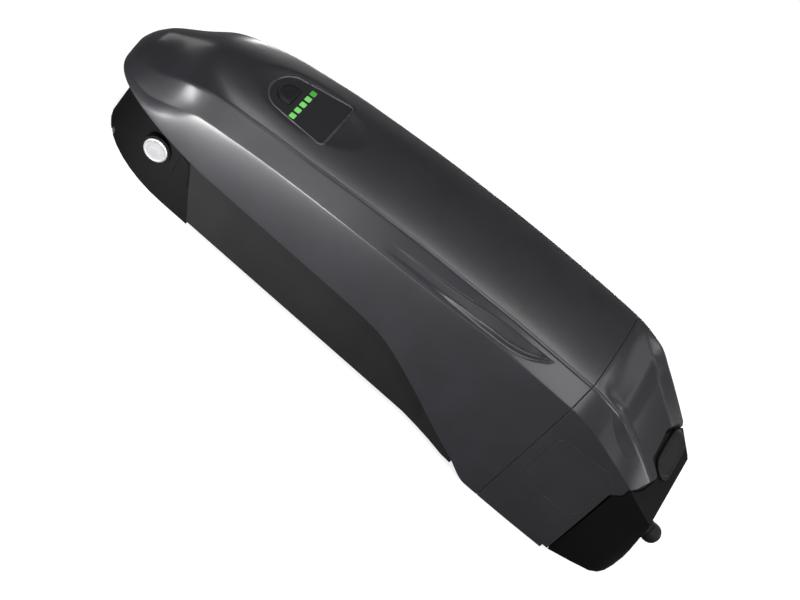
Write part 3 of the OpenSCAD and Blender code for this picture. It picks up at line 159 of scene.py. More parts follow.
def pitch(table, column, i):
    """Slope of a column between two rows."""
    return (table[i + 1][column] - table[i][column]) / (table[i + 1][0] - table[i][0])


def knee(table, column, i):
    """Slope of a column at a row, flat where it turns back."""
    if i <= 0:
        return pitch(table, column, 0)
    if i >= len(table) - 1:
        return pitch(table, column, len(table) - 2)
    before, after = pitch(table, column, i - 1), pitch(table, column, i)
    return 0.0 if before * after <= 0 else 2 * before * after / (before + after)


def track(table, column, u):
    """Monotone cubic through one column of a table."""
    i = 0
    while i < len(table) - 2 and u >= table[i + 1][0]:
        i += 1
    run = table[i + 1][0] - table[i][0]
    s = clamp((u - table[i][0]) / run)
    a, b = table[i][column], table[i + 1][column]
    p, q = knee(table, column, i) * run, knee(table, column, i + 1) * run
    return a + s * (p + s * (3 * (b - a) - 2 * p - q + s * (p + q - 2 * (b - a))))


def bend(a, corner, b, t):
    """Point on the rounding that leaves a towards the corner and arrives at b."""
    return tuple(lerp(lerp(p, c, t), lerp(c, q, t), t) for p, c, q in zip(a, corner, b))


# Form of the pack: the same shares as the solids, read more finely

# Place along the pack, ridge height, crown rise, crease height, ridge and crease across the hem, hollow
FORM_SHARES = (
    (0.000, 0.425, 0.015, 0.405, 0.70, 0.90, 0.000),
    (0.013, 0.452, 0.074, 0.410, 0.73, 0.92, 0.000),
    (0.029, 0.494, 0.096, 0.420, 0.74, 0.92, 0.000),
    (0.064, 0.568, 0.100, 0.440, 0.76, 0.90, 0.000),
    (0.105, 0.676, 0.072, 0.517, 0.77, 0.89, 0.000),
    (0.152, 0.742, 0.049, 0.617, 0.75, 0.91, 0.000),
    (0.219, 0.796, 0.039, 0.680, 0.77, 0.94, 0.000),
    (0.327, 0.857, 0.032, 0.728, 0.81, 0.96, 0.000),
    (0.520, 0.932, 0.030, 0.779, 0.82, 0.97, 0.000),
    (0.725, 0.969, 0.030, 0.834, 0.78, 0.93, 0.000),
    (0.825, 0.973, 0.026, 0.835, 0.76, 0.92, 0.000),
    (0.877, 0.945, 0.020, 0.801, 0.74, 0.92, 0.030),
    (0.915, 0.874, 0.012, 0.751, 0.70, 0.91, 0.045),
    (0.950, 0.797, 0.008, 0.700, 0.66, 0.89, 0.045),
    (1.000, 0.672, 0.005, 0.600, 0.63, 0.86, 0.040),
)
# Place along the pack, half width of the hem and its height
HEM_SHARES = (
    (0.000, 0.920, 0.388), (0.210, 0.930, 0.388), (0.485, 0.930, 0.388), (0.541, 0.935, 0.380),
    (0.570, 0.945, 0.362), (0.602, 0.955, 0.322), (0.646, 0.965, 0.255), (0.678, 0.972, 0.200),
    (0.713, 0.985, 0.143), (0.754, 0.995, 0.080), (0.800, 1.000, 0.006), (0.860, 0.990, 0.006),
    (0.960, 0.950, 0.006), (1.000, 0.930, 0.006),
)
# Place along the pack, the scoop's upper and lower edge across the band, and its depth
SCOOP_SHARES = (
    (0.470, 0.50, 0.86, 0.00), (0.557, 0.46, 0.88, 0.30), (0.611, 0.38, 0.90, 0.65),
    (0.649, 0.29, 0.93, 0.90), (0.685, 0.24, 0.92, 1.00), (0.717, 0.22, 0.81, 1.00),
    (0.738, 0.21, 0.60, 0.80), (0.752, 0.20, 0.36, 0.45), (0.760, 0.20, 0.24, 0.00),
)
# Edge of the rear lip: place along the pack and across its width
LIP_SHARES = (
    (0.956, -0.60), (0.962, -0.47), (0.981, -0.376), (0.991, -0.289), (1.0, -0.155), (1.0, -0.135),
    (0.9757, -0.125), (0.971, 0.146), (0.977, 0.215), (0.992, 0.355), (1.0, 0.43), (0.998, 0.60),
)
# Outline of the leaf inlay: place along the pack and across the band
LEAF_SHARES = (
    (0.868, 0.06), (0.872, 0.18), (0.883, 0.34), (0.898, 0.47), (0.914, 0.54), (0.934, 0.52),
    (0.942, 0.34), (0.94, 0.08), (0.90, 0.03),
)

# Places and reaches along the pack
NOSE_SHARE = 0.556
NOSE_START_SHARE = 0.0013
NOSE_BLUNT_SHARE = 0.03
NOSE_RUN_SHARE = 0.21
PART_SHARE = 0.825
END_WALL_SHARE = 0.958
DISH_SHARE = 0.262
DISH_REACH_SHARE = 0.100

# Heights, and places across the pack
LEDGE_SHARE = 0.602
LIP_RISE_SHARE = 0.045
FLAT_END_SHARES = (0.971, 0.671)
DISH_WIDTH_SHARE = 0.47
HOLLOW_START_SHARE = 0.66
HOLLOW_RUN_SHARE = 0.34

# Scoop: widths of its step and its lip, each of the band and at most of the scoop; how much of its depth its
# step and its slope take; and the part of the band that it stays in
SCOOP_STEP_SHARES = (0.07, 0.3)
SCOOP_LIP_SHARES = (0.11, 0.4)
SCOOP_FALL_SHARES = (0.45, 0.55)
SCOOP_LIMIT_SHARES = (0.12, 0.92)

# Roundings: how far they widen with an inset, and their most in the faces beside them
RIDGE_INSET_SHARE = 0.95
RIDGE_MOST_SHARE = 0.2
CREASE_INSET_SHARE = 1.7
CREASE_MOST_SHARES = (0.3, 0.25)

# Powers and steepness of curves
NOSE_FULLNESS = 1.5
NOSE_SQUARENESS = 3.4
DISH_STEEPNESS = 2.6
CROWN_BUNCHING = 1.25
SWELL_POWER = 0.8

# Millimetres: swell of the side, least widths that are divided by, and the level under the shells' hollows
SWELL = 0.6
LEAST_RUN = 0.02
TINY = 1e-9
CORE_FLOOR = -25

# Points across the crown, a rounding and the side, and across each stretch of the band
CROWN_STEPS = 20
ROUND_STEPS = 7
SIDE_STEPS = 12
BAND_COUNTS = (4, 6, 6, 9, 4)


def drawn_in(points, inset):
    """Points of half a section, moved inwards at right angles to the line past each."""
    drawn = []
    for i, (y, z) in enumerate(points):
        before, after = points[max(i - 1, 0)], points[min(i + 1, len(points) - 1)]
        dy, dz = after[0] - before[0], after[1] - before[1]
        run = math.hypot(dy, dz)
        if i == 0 or run < TINY:
            drawn.append((y, z - inset))
        else:
            drawn.append((max(y + dz / run * inset, 0), z - dy / run * inset))
    return drawn


class PackForm:
    """Outer form of the pack in millimetres; u is a place along it as a share of its length."""

    def __init__(self, sizes):
        self.length = sizes.length / MM
        self.width = sizes.width / MM
        self.height = sizes.height / MM
        self.wall = sizes.wall / MM
        self.scoop_depth = sizes.scoop / MM
        self.dish_depth = sizes.dish / MM
        self.ridge_round = sizes.ridge_round / MM
        self.crease_round = sizes.crease_round / MM
        self.seam = sizes.seam / MM
        self.nose_x = -self.length * NOSE_SHARE
        self.end_wall_x = self.place(END_WALL_SHARE)
        self.ledge_z = LEDGE_SHARE * self.height
        self.lip_rise = LIP_RISE_SHARE * self.height
        self.flat_end_x = self.place(FLAT_END_SHARES[0])
        self.flat_end_z = FLAT_END_SHARES[1] * self.height

    def place(self, u):
        return self.nose_x + u * self.length

    def share(self, x):
        return (x - self.nose_x) / self.length

    def nose_round(self, u):
        """Share of the full width that the rounded nose has reached."""
        v = max(u - NOSE_START_SHARE * clamp(1 - u / NOSE_BLUNT_SHARE), 0)
        if v >= NOSE_RUN_SHARE:
            return 1.0
        return (1 - (1 - v / NOSE_RUN_SHARE) ** NOSE_FULLNESS) ** (1 / NOSE_SQUARENESS)

    def hem_y(self, u):
        return self.width / 2 * track(HEM_SHARES, 1, u) * self.nose_round(u)

    def hem_z(self, u):
        return self.height * track(HEM_SHARES, 2, u)

    def ridge(self, u):
        return self.hem_y(u) * track(FORM_SHARES, 4, u), self.height * track(FORM_SHARES, 1, u)

    def crease(self, u):
        return self.hem_y(u) * track(FORM_SHARES, 5, u), self.height * track(FORM_SHARES, 3, u)

    def crown_z(self, u):
        return self.height * (track(FORM_SHARES, 1, u) + track(FORM_SHARES, 2, u))

    def hollow(self, u, s):
        """Depth of the end cap's sunk slope at a share of the way from the middle to the ridge."""
        edge = smooth((s - HOLLOW_START_SHARE) / HOLLOW_RUN_SHARE)
        return self.height * track(FORM_SHARES, 6, u) * (1 - edge)

    def dish(self, u, y):
        """Depth of the dish around the panel."""
        a, b = (u - DISH_SHARE) / DISH_REACH_SHARE, y / (DISH_WIDTH_SHARE * self.width / 2)
        return self.dish_depth * smooth(DISH_STEEPNESS * (1 - math.hypot(a, b)))

    def scoop_edges(self, u):
        """Where the scoop's upper step and its lower lip lie across the band."""
        v = clamp(u, SCOOP_SHARES[0][0], SCOOP_SHARES[-1][0])
        return track(SCOOP_SHARES, 1, v), track(SCOOP_SHARES, 2, v)

    def scoop_widths(self, run):
        """Widths of the scoop's step and lip where the scoop is as wide as the run."""
        return tuple(min(most, share * run) for most, share in (SCOOP_STEP_SHARES, SCOOP_LIP_SHARES))

    def scoop(self, u, s):
        """Depth of the scoop at a share of the way across the band."""
        if not SCOOP_SHARES[0][0] < u < SCOOP_SHARES[-1][0]:
            return 0.0
        high, low = self.scoop_edges(u)
        run = max(low - high, LEAST_RUN)
        step, lip = self.scoop_widths(run)
        steep, gentle = SCOOP_FALL_SHARES
        fall = steep * smooth((s - high) / step) + gentle * clamp((s - high) / (run - lip))
        return self.scoop_depth * track(SCOOP_SHARES, 3, u) * fall * (1 - smooth((s - low + lip) / lip))

    def band_steps(self, u, first, last):
        """Places across the band, closer together on the scoop's step and on its lip."""
        high, low = self.scoop_edges(u)
        least, most = (lerp(first, last, share) for share in SCOOP_LIMIT_SHARES)
        high, low = max(high, least), min(low, most)
        step, lip = self.scoop_widths(low - high)
        places, start = [first], first
        for stop, count in zip((high, high + step, low - lip, low, last), BAND_COUNTS):
            places += [lerp(start, stop, k / count) for k in range(1, count + 1)]
            start = stop
        return places

    def half(self, u, inset=0.0, detail=1.0):
        """Points (y, z) of half a section, from the crown's middle to the hem, drawn in by inset."""
        (ry, rz), (fy, fz) = self.ridge(u), self.crease(u)
        hy, hz = self.hem_y(u), self.hem_z(u)
        rise = self.crown_z(u) - rz
        crown_run = max(ry, LEAST_RUN)
        band_run = max(math.hypot(fy - ry, fz - rz), LEAST_RUN)
        side_run = max(math.hypot(hy - fy, hz - fz), LEAST_RUN)
        swell = SWELL * self.nose_round(u)

        def crown(s):
            return (s * ry, rz + rise * (1 - s * s) - self.hollow(u, s) - detail * self.dish(u, s * ry))

        def band(s):
            return (lerp(ry, fy, s) - detail * self.scoop(u, s), lerp(rz, fz, s))

        def side(s):
            return (lerp(fy, hy, s) + swell * math.sin(math.pi * clamp(s)) ** SWELL_POWER, lerp(fz, hz, s))

        a = min(max(self.ridge_round, RIDGE_INSET_SHARE * inset),
                RIDGE_MOST_SHARE * band_run, RIDGE_MOST_SHARE * crown_run)
        c = min(max(self.crease_round, CREASE_INSET_SHARE * inset),
                CREASE_MOST_SHARES[0] * band_run, CREASE_MOST_SHARES[1] * side_run)
        s1, s2, s3, s4 = 1 - a / crown_run, a / band_run, 1 - c / band_run, c / side_run
        points = [crown(s1 * (1 - (1 - k / CROWN_STEPS) ** CROWN_BUNCHING)) for k in range(CROWN_STEPS + 1)]
        points += [bend(crown(s1), (ry, rz), band(s2), k / ROUND_STEPS) for k in range(1, ROUND_STEPS)]
        points += [band(s) for s in self.band_steps(u, s2, s3)]
        points += [bend(band(s3), (fy, fz), side(s4), k / ROUND_STEPS) for k in range(1, ROUND_STEPS)]
        points += [side(lerp(s4, 1, k / SIDE_STEPS)) for k in range(SIDE_STEPS + 1)]
        return drawn_in(points, inset) if inset else points

    def ring(self, x, u, inset=0.0, detail=1.0, low=None):
        """Closed ring at x, from one hem over the crown to the other; low adds a floor under the hems."""
        half = self.half(u, inset, detail)
        if low is not None:
            half = half + [(half[-1][0], low)]
        return [(x, -y, z) for y, z in reversed(half[1:])] + [(x, y, z) for y, z in half]

    def core(self, x, u):
        """Ring of the hollow inside the shells, which is open below."""
        return self.ring(x, u, self.wall, 0.0, CORE_FLOOR)

    def band_point(self, u, s):
        """Point (x, z) on the band between the ridge and the crease."""
        return self.place(u), lerp(self.ridge(u)[1], self.crease(u)[1], s)


# Mesh making

def placed(name, data):
    """A new object of the scene with a mesh, light or camera."""
    obj = bpy.data.objects.new(name, data)
    bpy.context.scene.collection.objects.link(obj)
    return obj


def settle(obj):
    """Applies an object's modifiers to its mesh."""
    graph = bpy.context.evaluated_depsgraph_get()
    graph.update()
    done = bpy.data.meshes.new_from_object(obj.evaluated_get(graph))
    old = obj.data
    obj.modifiers.clear()
    obj.data = done
    bpy.data.meshes.remove(old)
    done.name = obj.name
    return obj


def mesh_piece(name, points, faces, matrix=None, merge=0.0):
    """A closed mesh from points in millimetres."""
    mesh = bpy.data.meshes.new(name)
    mesh.from_pydata([Vector(p) * MM for p in points], [], faces)
    work = bmesh.new()
    work.from_mesh(mesh)
    if merge:
        bmesh.ops.remove_doubles(work, verts=work.verts, dist=merge * MM)
    bmesh.ops.recalc_face_normals(work, faces=work.faces)
    if matrix is not None:
        bmesh.ops.transform(work, matrix=matrix, verts=work.verts)
        if matrix.determinant() < 0:
            bmesh.ops.reverse_faces(work, faces=work.faces)
    work.to_mesh(mesh)
    work.free()
    return placed(name, mesh)


def skin(name, rings, matrix=None):
    """A closed solid through rings of the same count, in millimetres."""
    n, m = len(rings[0]), len(rings)
    points = [p for ring in rings for p in ring]
    faces = [tuple(reversed(range(n))), tuple((m - 1) * n + i for i in range(n))]
    for k in range(m - 1):
        for i in range(n):
            j = (i + 1) % n
            faces.append((k * n + i, k * n + j, (k + 1) * n + j, (k + 1) * n + i))
    return mesh_piece(name, points, faces, matrix, merge=SKIN_MERGE)


def upright(name, outline, low, high, matrix=None):
    """A prism over a plan outline between two heights."""
    return skin(name, [[(x, y, low) for x, y in outline], [(x, y, high) for x, y in outline]], matrix)


def across(name, outline, y0, y1):
    """A prism across the pack over a side outline of (x, z) points."""
    return skin(name, [[(x, y0, z) for x, z in outline], [(x, y1, z) for x, z in outline]])


def block(name, low, high):
    """A box between two corners."""
    (x0, y0, z0), (x1, y1, z1) = low, high
    return upright(name, [(x0, y0), (x1, y0), (x1, y1), (x0, y1)], z0, z1)


def lathe(name, profile, steps, matrix):
    """A turned piece about its own Z axis from (radius, height) points; both ends lie on the axis."""
    points = [(0, 0, profile[0][1])]
    for r, z in profile[1:-1]:
        points += [(r * math.cos(2 * math.pi * k / steps), r * math.sin(2 * math.pi * k / steps), z)
                   for k in range(steps)]
    points.append((0, 0, profile[-1][1]))
    rows, last = len(profile) - 2, len(points) - 1
    faces = []
    for k in range(steps):
        j = (k + 1) % steps
        faces.append((0, 1 + j, 1 + k))
        faces.append((last, 1 + (rows - 1) * steps + k, 1 + (rows - 1) * steps + j))
        for r in range(rows - 1):
            a, b = 1 + r * steps, 1 + (r + 1) * steps
            faces.append((a + k, a + j, b + j, b + k))
    return mesh_piece(name, points, faces, matrix)


def rounded_box(width, height, corner, steps):
    """Outline of a rectangle about the origin with rounded corners."""
    points = []
    for cx, cy, start in ((1, 1, 0), (-1, 1, 90), (-1, -1, 180), (1, -1, 270)):
        for k in range(steps + 1):
            a = math.radians(start + 90 * k / steps)
            points.append((cx * (width / 2 - corner) + corner * math.cos(a),
                           cy * (height / 2 - corner) + corner * math.sin(a)))
    return points


def carve(obj, *cutters, operation="DIFFERENCE"):
    """Cuts, joins or keeps the common part with each cutter, which is used up."""
    for cutter in cutters:
        cut = obj.modifiers.new("carve", "BOOLEAN")
        cut.operation = operation
        cut.object = cutter
        cut.solver = "EXACT"
        settle(obj)
        bpy.data.meshes.remove(cutter.data)
    return obj


def copy_of(obj, name, shift=(0, 0, 0)):
    """A second object with its own mesh, moved by a shift in millimetres."""
    twin = placed(name, obj.data.copy())
    twin.data.transform(Matrix.Translation(Vector(shift) * MM))
    return twin


def joined(name, *objs):
    """One object from several, whose own objects are used up."""
    work = bmesh.new()
    for obj in objs:
        work.from_mesh(obj.data)
        bpy.data.meshes.remove(obj.data)
    mesh = bpy.data.meshes.new(name)
    work.to_mesh(mesh)
    work.free()
    return placed(name, mesh)


def bevel(obj, width, segments, angle):
    """Adds a modifier that rounds the edges sharper than the angle."""
    edge = obj.modifiers.new("soften", "BEVEL")
    edge.width = width * MM
    edge.segments = segments
    edge.limit_method = "ANGLE"
    edge.angle_limit = math.radians(angle)


def soften(obj, width, segments, angle):
    """Rounds the edges sharper than the angle, for good."""
    bevel(obj, width, segments, angle)
    return settle(obj)


def dressed(obj, finish, body, slot, *nodes, angle=35):
    """Gives a new piece its finish, its body and the nodes it stands for; the slot is not used."""
    obj.data.shade_smooth()
    obj.data.set_sharp_from_angle(angle=math.radians(angle))
    obj.data.materials.clear()
    obj.data.materials.append(finish)
    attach(obj, body)
    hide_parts(*nodes)
    return obj


def dress_node(name, finish, edge):
    """Gives a CAD node its finish and soft edges, by modifiers alone."""
    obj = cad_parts[name]
    obj.data.materials.clear()
    obj.data.materials.append(finish)
    for face in obj.data.polygons:
        face.use_smooth = True
    weld = obj.modifiers.new("weld", "WELD")
    weld.merge_threshold = NODE_WELD * MM
    if edge:
        bevel(obj, edge, segments=2, angle=NODE_SHARP)
    even = obj.modifiers.new("even", "WEIGHTED_NORMAL")
    even.keep_sharp = True
    return obj


# Finishes

class Value:
    """A number in a shader; arithmetic on it adds Math nodes."""

    def __init__(self, nodes, socket):
        self.nodes = nodes
        self.socket = socket

    def _math(self, operation, *terms, limit=False):
        node = self.nodes.node("ShaderNodeMath", {"operation": operation, "use_clamp": limit},
                               dict(enumerate(terms)))
        return Value(self.nodes, node.outputs[0])

    def __add__(self, other):
        return self._math("ADD", self, other)

    __radd__ = __add__

    def __mul__(self, other):
        return self._math("MULTIPLY", self, other)

    __rmul__ = __mul__

    def __sub__(self, other):
        return self._math("SUBTRACT", self, other)

    def __rsub__(self, other):
        return self._math("SUBTRACT", other, self)

    def size(self):
        return self._math("ABSOLUTE", self)

    def between(self, low, high):
        """0 at low, 1 at high, held at both ends."""
        return self._math("MULTIPLY", self - low, 1 / (high - low), limit=True)


class Nodes:
    """A node tree, and the one way to add a node to it."""

    def __init__(self, tree):
        self.tree = tree

    def node(self, kind, settings=None, sockets=None):
        """A node of a kind: its settings first, then the values or links of its sockets."""
        node = self.tree.nodes.new(kind)
        for key, value in (settings or {}).items():
            setattr(node, key, value)
        for key, value in (sockets or {}).items():
            self.feed(node.inputs[key], value)
        return node

    def feed(self, socket, value):
        if isinstance(value, Value):
            value = value.socket
        if isinstance(value, bpy.types.NodeSocket):
            self.tree.links.new(value, socket)
        elif socket.type == "RGBA" and len(value) == 3:
            socket.default_value = (*value, 1)
        else:
            socket.default_value = value

    def seen(self):
        """1 for what the camera sees itself, and 0 for what lights and reflections see."""
        return Value(self, self.node("ShaderNodeLightPath").outputs["Is Camera Ray"])


class Finish(Nodes):
    """A material and the nodes that make it."""

    def __init__(self, name):
        self.material = bpy.data.materials.new(name)
        self.material.use_nodes = True
        super().__init__(self.material.node_tree)
        self.shader = self.tree.nodes["Principled BSDF"]
        self._place = None

    def set(self, **sockets):
        """Values or links of the shader's sockets, with _ for the blanks in their names."""
        for key, value in sockets.items():
            self.feed(self.shader.inputs[key.replace("_", " ")], value)
        return self.material

    def place(self):
        """The point on the object, in metres."""
        if self._place is None:
            self._place = self.node("ShaderNodeTexCoord").outputs["Object"]
        return self._place

    def stretched(self, x, y, z):
        """The point on the object, with what is drawn there made longer along each axis."""
        return self.node("ShaderNodeMapping", {"vector_type": "TEXTURE"},
                         {"Vector": self.place(), "Scale": (x, y, z)}).outputs[0]

    def axis(self, name):
        parts = self.node("ShaderNodeSeparateXYZ", sockets={0: self.place()})
        return Value(self, parts.outputs[name])

    def noise(self, scale, detail=3.0, rough=0.5, vector=None):
        node = self.node("ShaderNodeTexNoise", sockets={
            "Vector": vector or self.place(), "Scale": scale, "Detail": detail, "Roughness": rough})
        return Value(self, node.outputs[0])

    def cells(self, scale):
        node = self.node("ShaderNodeTexVoronoi", {"feature": "F1"}, {"Vector": self.place(), "Scale": scale})
        return Value(self, node.outputs[0])

    def mix(self, factor, a, b):
        """Blend of two colours; a Mix node holds its colours in sockets 6 and 7 and gives theirs in 2."""
        return self.node("ShaderNodeMix", {"data_type": "RGBA"}, {0: factor, 6: a, 7: b}).outputs[2]

    def edges(self, radius):
        """The normal with rounded edges of a radius in millimetres, and a mask of those edges."""
        rounded = self.node("ShaderNodeBevel", {"samples": EDGE_SAMPLES}, {"Radius": radius * MM}).outputs[0]
        plain = self.node("ShaderNodeNewGeometry").outputs["Normal"]
        alike = self.node("ShaderNodeVectorMath", {"operation": "DOT_PRODUCT"}, {0: rounded, 1: plain})
        return rounded, (1 - Value(self, alike.outputs["Value"])).between(*EDGE_MASK)

    def bump(self, height, depth, strength, normal=None):
        """The normal with a relief of a depth in millimetres."""
        sockets = {"Height": height, "Distance": depth * MM, "Strength": strength}
        if normal is not None:
            sockets["Normal"] = normal
        return self.node("ShaderNodeBump", sockets=sockets).outputs[0]


EDGE_SAMPLES = 4
EDGE_MASK = (0.02, 0.25)


def shade(colour, factor):
    return tuple(c * factor for c in colour)


def moulded(name, colour, rough, tone=1.0, grain=0.02, grain_scale=2600, edge=0.35, edge_wear_and_highlight=1.8, coat=0.0,
            specular=0.5, tint=None):
    """Moulded plastic: fine spark grain, faint patches in its gloss, and edges polished by handling and
    painted lighter, partly as wear and partly as a painted highlight.
    """
    f = Finish(name)
    colour = shade(colour, tone)
    normal, rim = f.edges(edge)
    grains = f.noise(grain_scale, detail=2.0, rough=0.6)
    blotch = f.noise(38, rough=0.55)
    smear = f.noise(9, detail=2.0, vector=f.stretched(3.0, 1.0, 1.0))
    base = f.mix(blotch.between(0.35, 0.7), shade(colour, 0.88), tint or shade(colour, 1.12))
    # Rounded edges painted lighter: partly handling wear, partly a painted highlight along ridges and inlay
    # outlines
    base = f.mix(rim * 0.55, base, shade(colour, edge_wear_and_highlight))
    dust = f.noise(520, detail=4.0, rough=0.7).between(0.66, 0.80)
    base = f.mix(dust * 0.12, base, shade(colour, 3.0))
    gloss = rough + (smear - 0.5) * 0.10 + (grains - 0.5) * 0.06 - rim * 0.05
    relief = f.bump(grains + blotch * 0.4, depth=grain, strength=0.35, normal=normal)
    return f.set(Base_Color=base, Roughness=gloss, Normal=relief, Coat_Weight=coat, Coat_Roughness=0.2,
                 Specular_IOR_Level=specular)


def rubber(name, colour, rough=0.62):
    """Moulded rubber: fine pores and a pale bloom."""
    f = Finish(name)
    normal, rim = f.edges(0.5)
    pores = f.noise(1500, detail=5.0, rough=0.65)
    bloom = f.noise(60, rough=0.6)
    base = f.mix(bloom.between(0.4, 0.75), colour, shade(colour, 1.6))
    # Rounded edges painted lighter, partly as wear and partly as a painted highlight
    base = f.mix(rim * 0.4, base, shade(colour, 2.2))
    return f.set(Base_Color=base, Roughness=rough + (bloom - 0.5) * 0.2, Specular_IOR_Level=0.35,
                 Normal=f.bump(pores, depth=0.03, strength=0.5, normal=normal))


def metal(name, colour, rough, along=(1, 1, 1), scale=300, edge=0.25, depth=0.01):
    """Bare metal with drawn or brushed lines along one direction, lighter on its edges."""
    f = Finish(name)
    normal, rim = f.edges(edge)
    lines = f.noise(scale, detail=6.0, rough=0.7, vector=f.stretched(*(1 / run for run in along)))
    stain = f.noise(45, detail=4.0, rough=0.6)
    base = f.mix(stain.between(0.4, 0.8), colour, shade(colour, 0.72))
    base = f.mix(lines.between(0.3, 0.8) * 0.35, base, shade(colour, 1.15))
    # Edges painted lighter, partly as wear and partly as a painted highlight
    base = f.mix(rim * 0.5, base, shade(colour, 1.3))
    return f.set(Base_Color=base, Roughness=rough + (stain - 0.5) * 0.25 + (lines - 0.5) * 0.15, Metallic=1.0,
                 Normal=f.bump(lines, depth=depth, strength=0.4, normal=normal))


def panel_gloss(name, colour):
    """Hard-coated panel film with a faint speckle and fine wiping marks."""
    f = Finish(name)
    normal, rim = f.edges(0.2)
    speck = f.noise(3400, detail=2.0, rough=0.6)
    wipe = f.noise(260, detail=4.0, rough=0.6, vector=f.stretched(1, 9, 1))
    base = f.mix(speck.between(0.45, 0.75), colour, shade(colour, 1.5))
    # Rounded edges painted lighter, partly as wear and partly as a painted highlight
    base = f.mix(rim * 0.5, base, shade(colour, 2.0))
    return f.set(Base_Color=base, Roughness=0.30 + (wipe - 0.5) * 0.12, Coat_Weight=0.25, Coat_Roughness=0.12,
                 Normal=f.bump(speck + wipe, depth=0.006, strength=0.3, normal=normal))


def lamp_glow(name, colour, dim_place, dim_reach):
    """Lit diffuser window: a faintly cloudy glow, dimmer for the last lamp of the row."""
    f = Finish(name)
    normal, rim = f.edges(0.3)
    cloud = f.noise(420, detail=2.0)
    fade = f.axis("Y").between(dim_place + dim_reach, dim_place - dim_reach)
    power = (0.12 + fade * 0.88) * (0.85 + cloud * 0.3)
    # The window's rounded edges are painted pale as a painted highlight
    return f.set(Base_Color=f.mix(rim * 0.7, shade(colour, 0.5), (0.55, 0.8, 0.5)),
                 Emission_Color=f.mix(power, (0.02, 0.16, 0.02), (0.30, 0.86, 0.22)),
                 Emission_Strength=0.5, Roughness=0.35 + cloud * 0.1, Normal=normal)


def printed_board(name, colour):
    """Circuit board: solder mask over copper tracks and pads, with the glass weave in its edge."""
    f = Finish(name)
    normal, rim = f.edges(0.15)
    tracks = f.node("ShaderNodeTexBrick", {"offset": 0.37, "squash": 1.0}, {
        "Vector": f.place(), "Scale": 300.0, "Mortar Size": 0.035, "Brick Width": 2.2, "Row Height": 0.5})
    lines = Value(f, tracks.outputs["Fac"])
    pads = 1 - f.cells(420).between(0.12, 0.2)
    base = f.mix(lines * 0.6, colour, shade(colour, 1.9))
    base = f.mix(pads * 0.8, base, (0.55, 0.54, 0.48))
    base = f.mix(rim * 0.6, base, (0.35, 0.33, 0.12))
    return f.set(Base_Color=base, Roughness=0.32 + pads * 0.1, Metallic=pads * 0.7,
                 Normal=f.bump(lines * 0.5 + pads, depth=0.03, strength=0.6, normal=normal))


def shrink_sleeve(name, colour, bare):
    """Shrink sleeve over a steel can: long faint wrinkles and a bare steel end."""
    f = Finish(name)
    normal, rim = f.edges(0.5)
    wrinkle = f.noise(160, detail=4.0, rough=0.6, vector=f.stretched(1, 6, 1))
    tone = f.noise(30, detail=2.0)
    end = f.axis("Y").size().between(*bare)
    base = f.mix(tone, shade(colour, 0.8), shade(colour, 1.3))
    base = f.mix(end, base, (0.55, 0.55, 0.54))
    # Rounded edges painted lighter, partly as wear and partly as a painted highlight
    base = f.mix(rim * 0.4 * (1 - end), base, shade(colour, 2.5))
    return f.set(Base_Color=base, Roughness=0.28 + wrinkle * 0.12, Metallic=end,
                 Normal=f.bump(wrinkle, depth=0.05, strength=0.4, normal=normal))


def foam(name, colour):
    """Open foam with coarse dark pores."""
    f = Finish(name)
    pores = f.cells(1100)
    coarse = f.noise(300, detail=4.0, rough=0.7)
    # The pores' hollows are painted dark as painted shade
    base = f.mix(pores.between(0.1, 0.6), shade(colour, 0.35), colour)
    return f.set(Base_Color=base, Roughness=0.88 + coarse * 0.1,
                 Normal=f.bump(pores + coarse * 0.5, depth=0.25, strength=0.8))


def stiff_sheet(name, colour):
    """Pressed paper sheet: matted fibres and a slight calender shine."""
    f = Finish(name)
    normal, rim = f.edges(0.15)
    fibre = f.noise(240, detail=6.0, rough=0.75, vector=f.stretched(6, 1, 1))
    weave = f.noise(900, rough=0.6)
    base = f.mix(fibre.between(0.35, 0.7), shade(colour, 0.85), shade(colour, 1.1))
    return f.set(Base_Color=f.mix(rim * 0.5, base, shade(colour, 0.6)), Roughness=0.55 + fibre * 0.15,
                 Normal=f.bump(fibre + weave * 0.5, depth=0.04, strength=0.5, normal=normal))


def ceramic(name, colour, bare):
    """Glazed ceramic tube with metal end caps."""
    f = Finish(name)
    normal, rim = f.edges(0.3)
    cloud = f.noise(90, detail=4.0, rough=0.6)
    end = f.axis("Y").size().between(*bare)
    base = f.mix(cloud, shade(colour, 0.9), colour)
    base = f.mix(end, base, (0.62, 0.61, 0.58))
    return f.set(Base_Color=base, Roughness=0.3 + cloud * 0.12, Metallic=end,
                 Normal=f.bump(cloud, depth=0.02, strength=0.3, normal=normal))


def floor_finish(colour, bounce):
    """Pale floor that throws back less light than it shows, as black flags beside a product would see to."""
    f = Finish("floor")
    cloud = f.noise(3, detail=2.0)
    seen = f.seen()
    pale = f.mix(cloud, shade(colour, 0.985), colour)
    return f.set(Base_Color=f.mix(seen, shade(colour, bounce), shade(colour, 0.5)),
                 Emission_Color=f.mix(seen, (0, 0, 0), pale), Emission_Strength=0.84,
                 Roughness=0.8 + cloud * 0.05, Specular_IOR_Level=0.05)


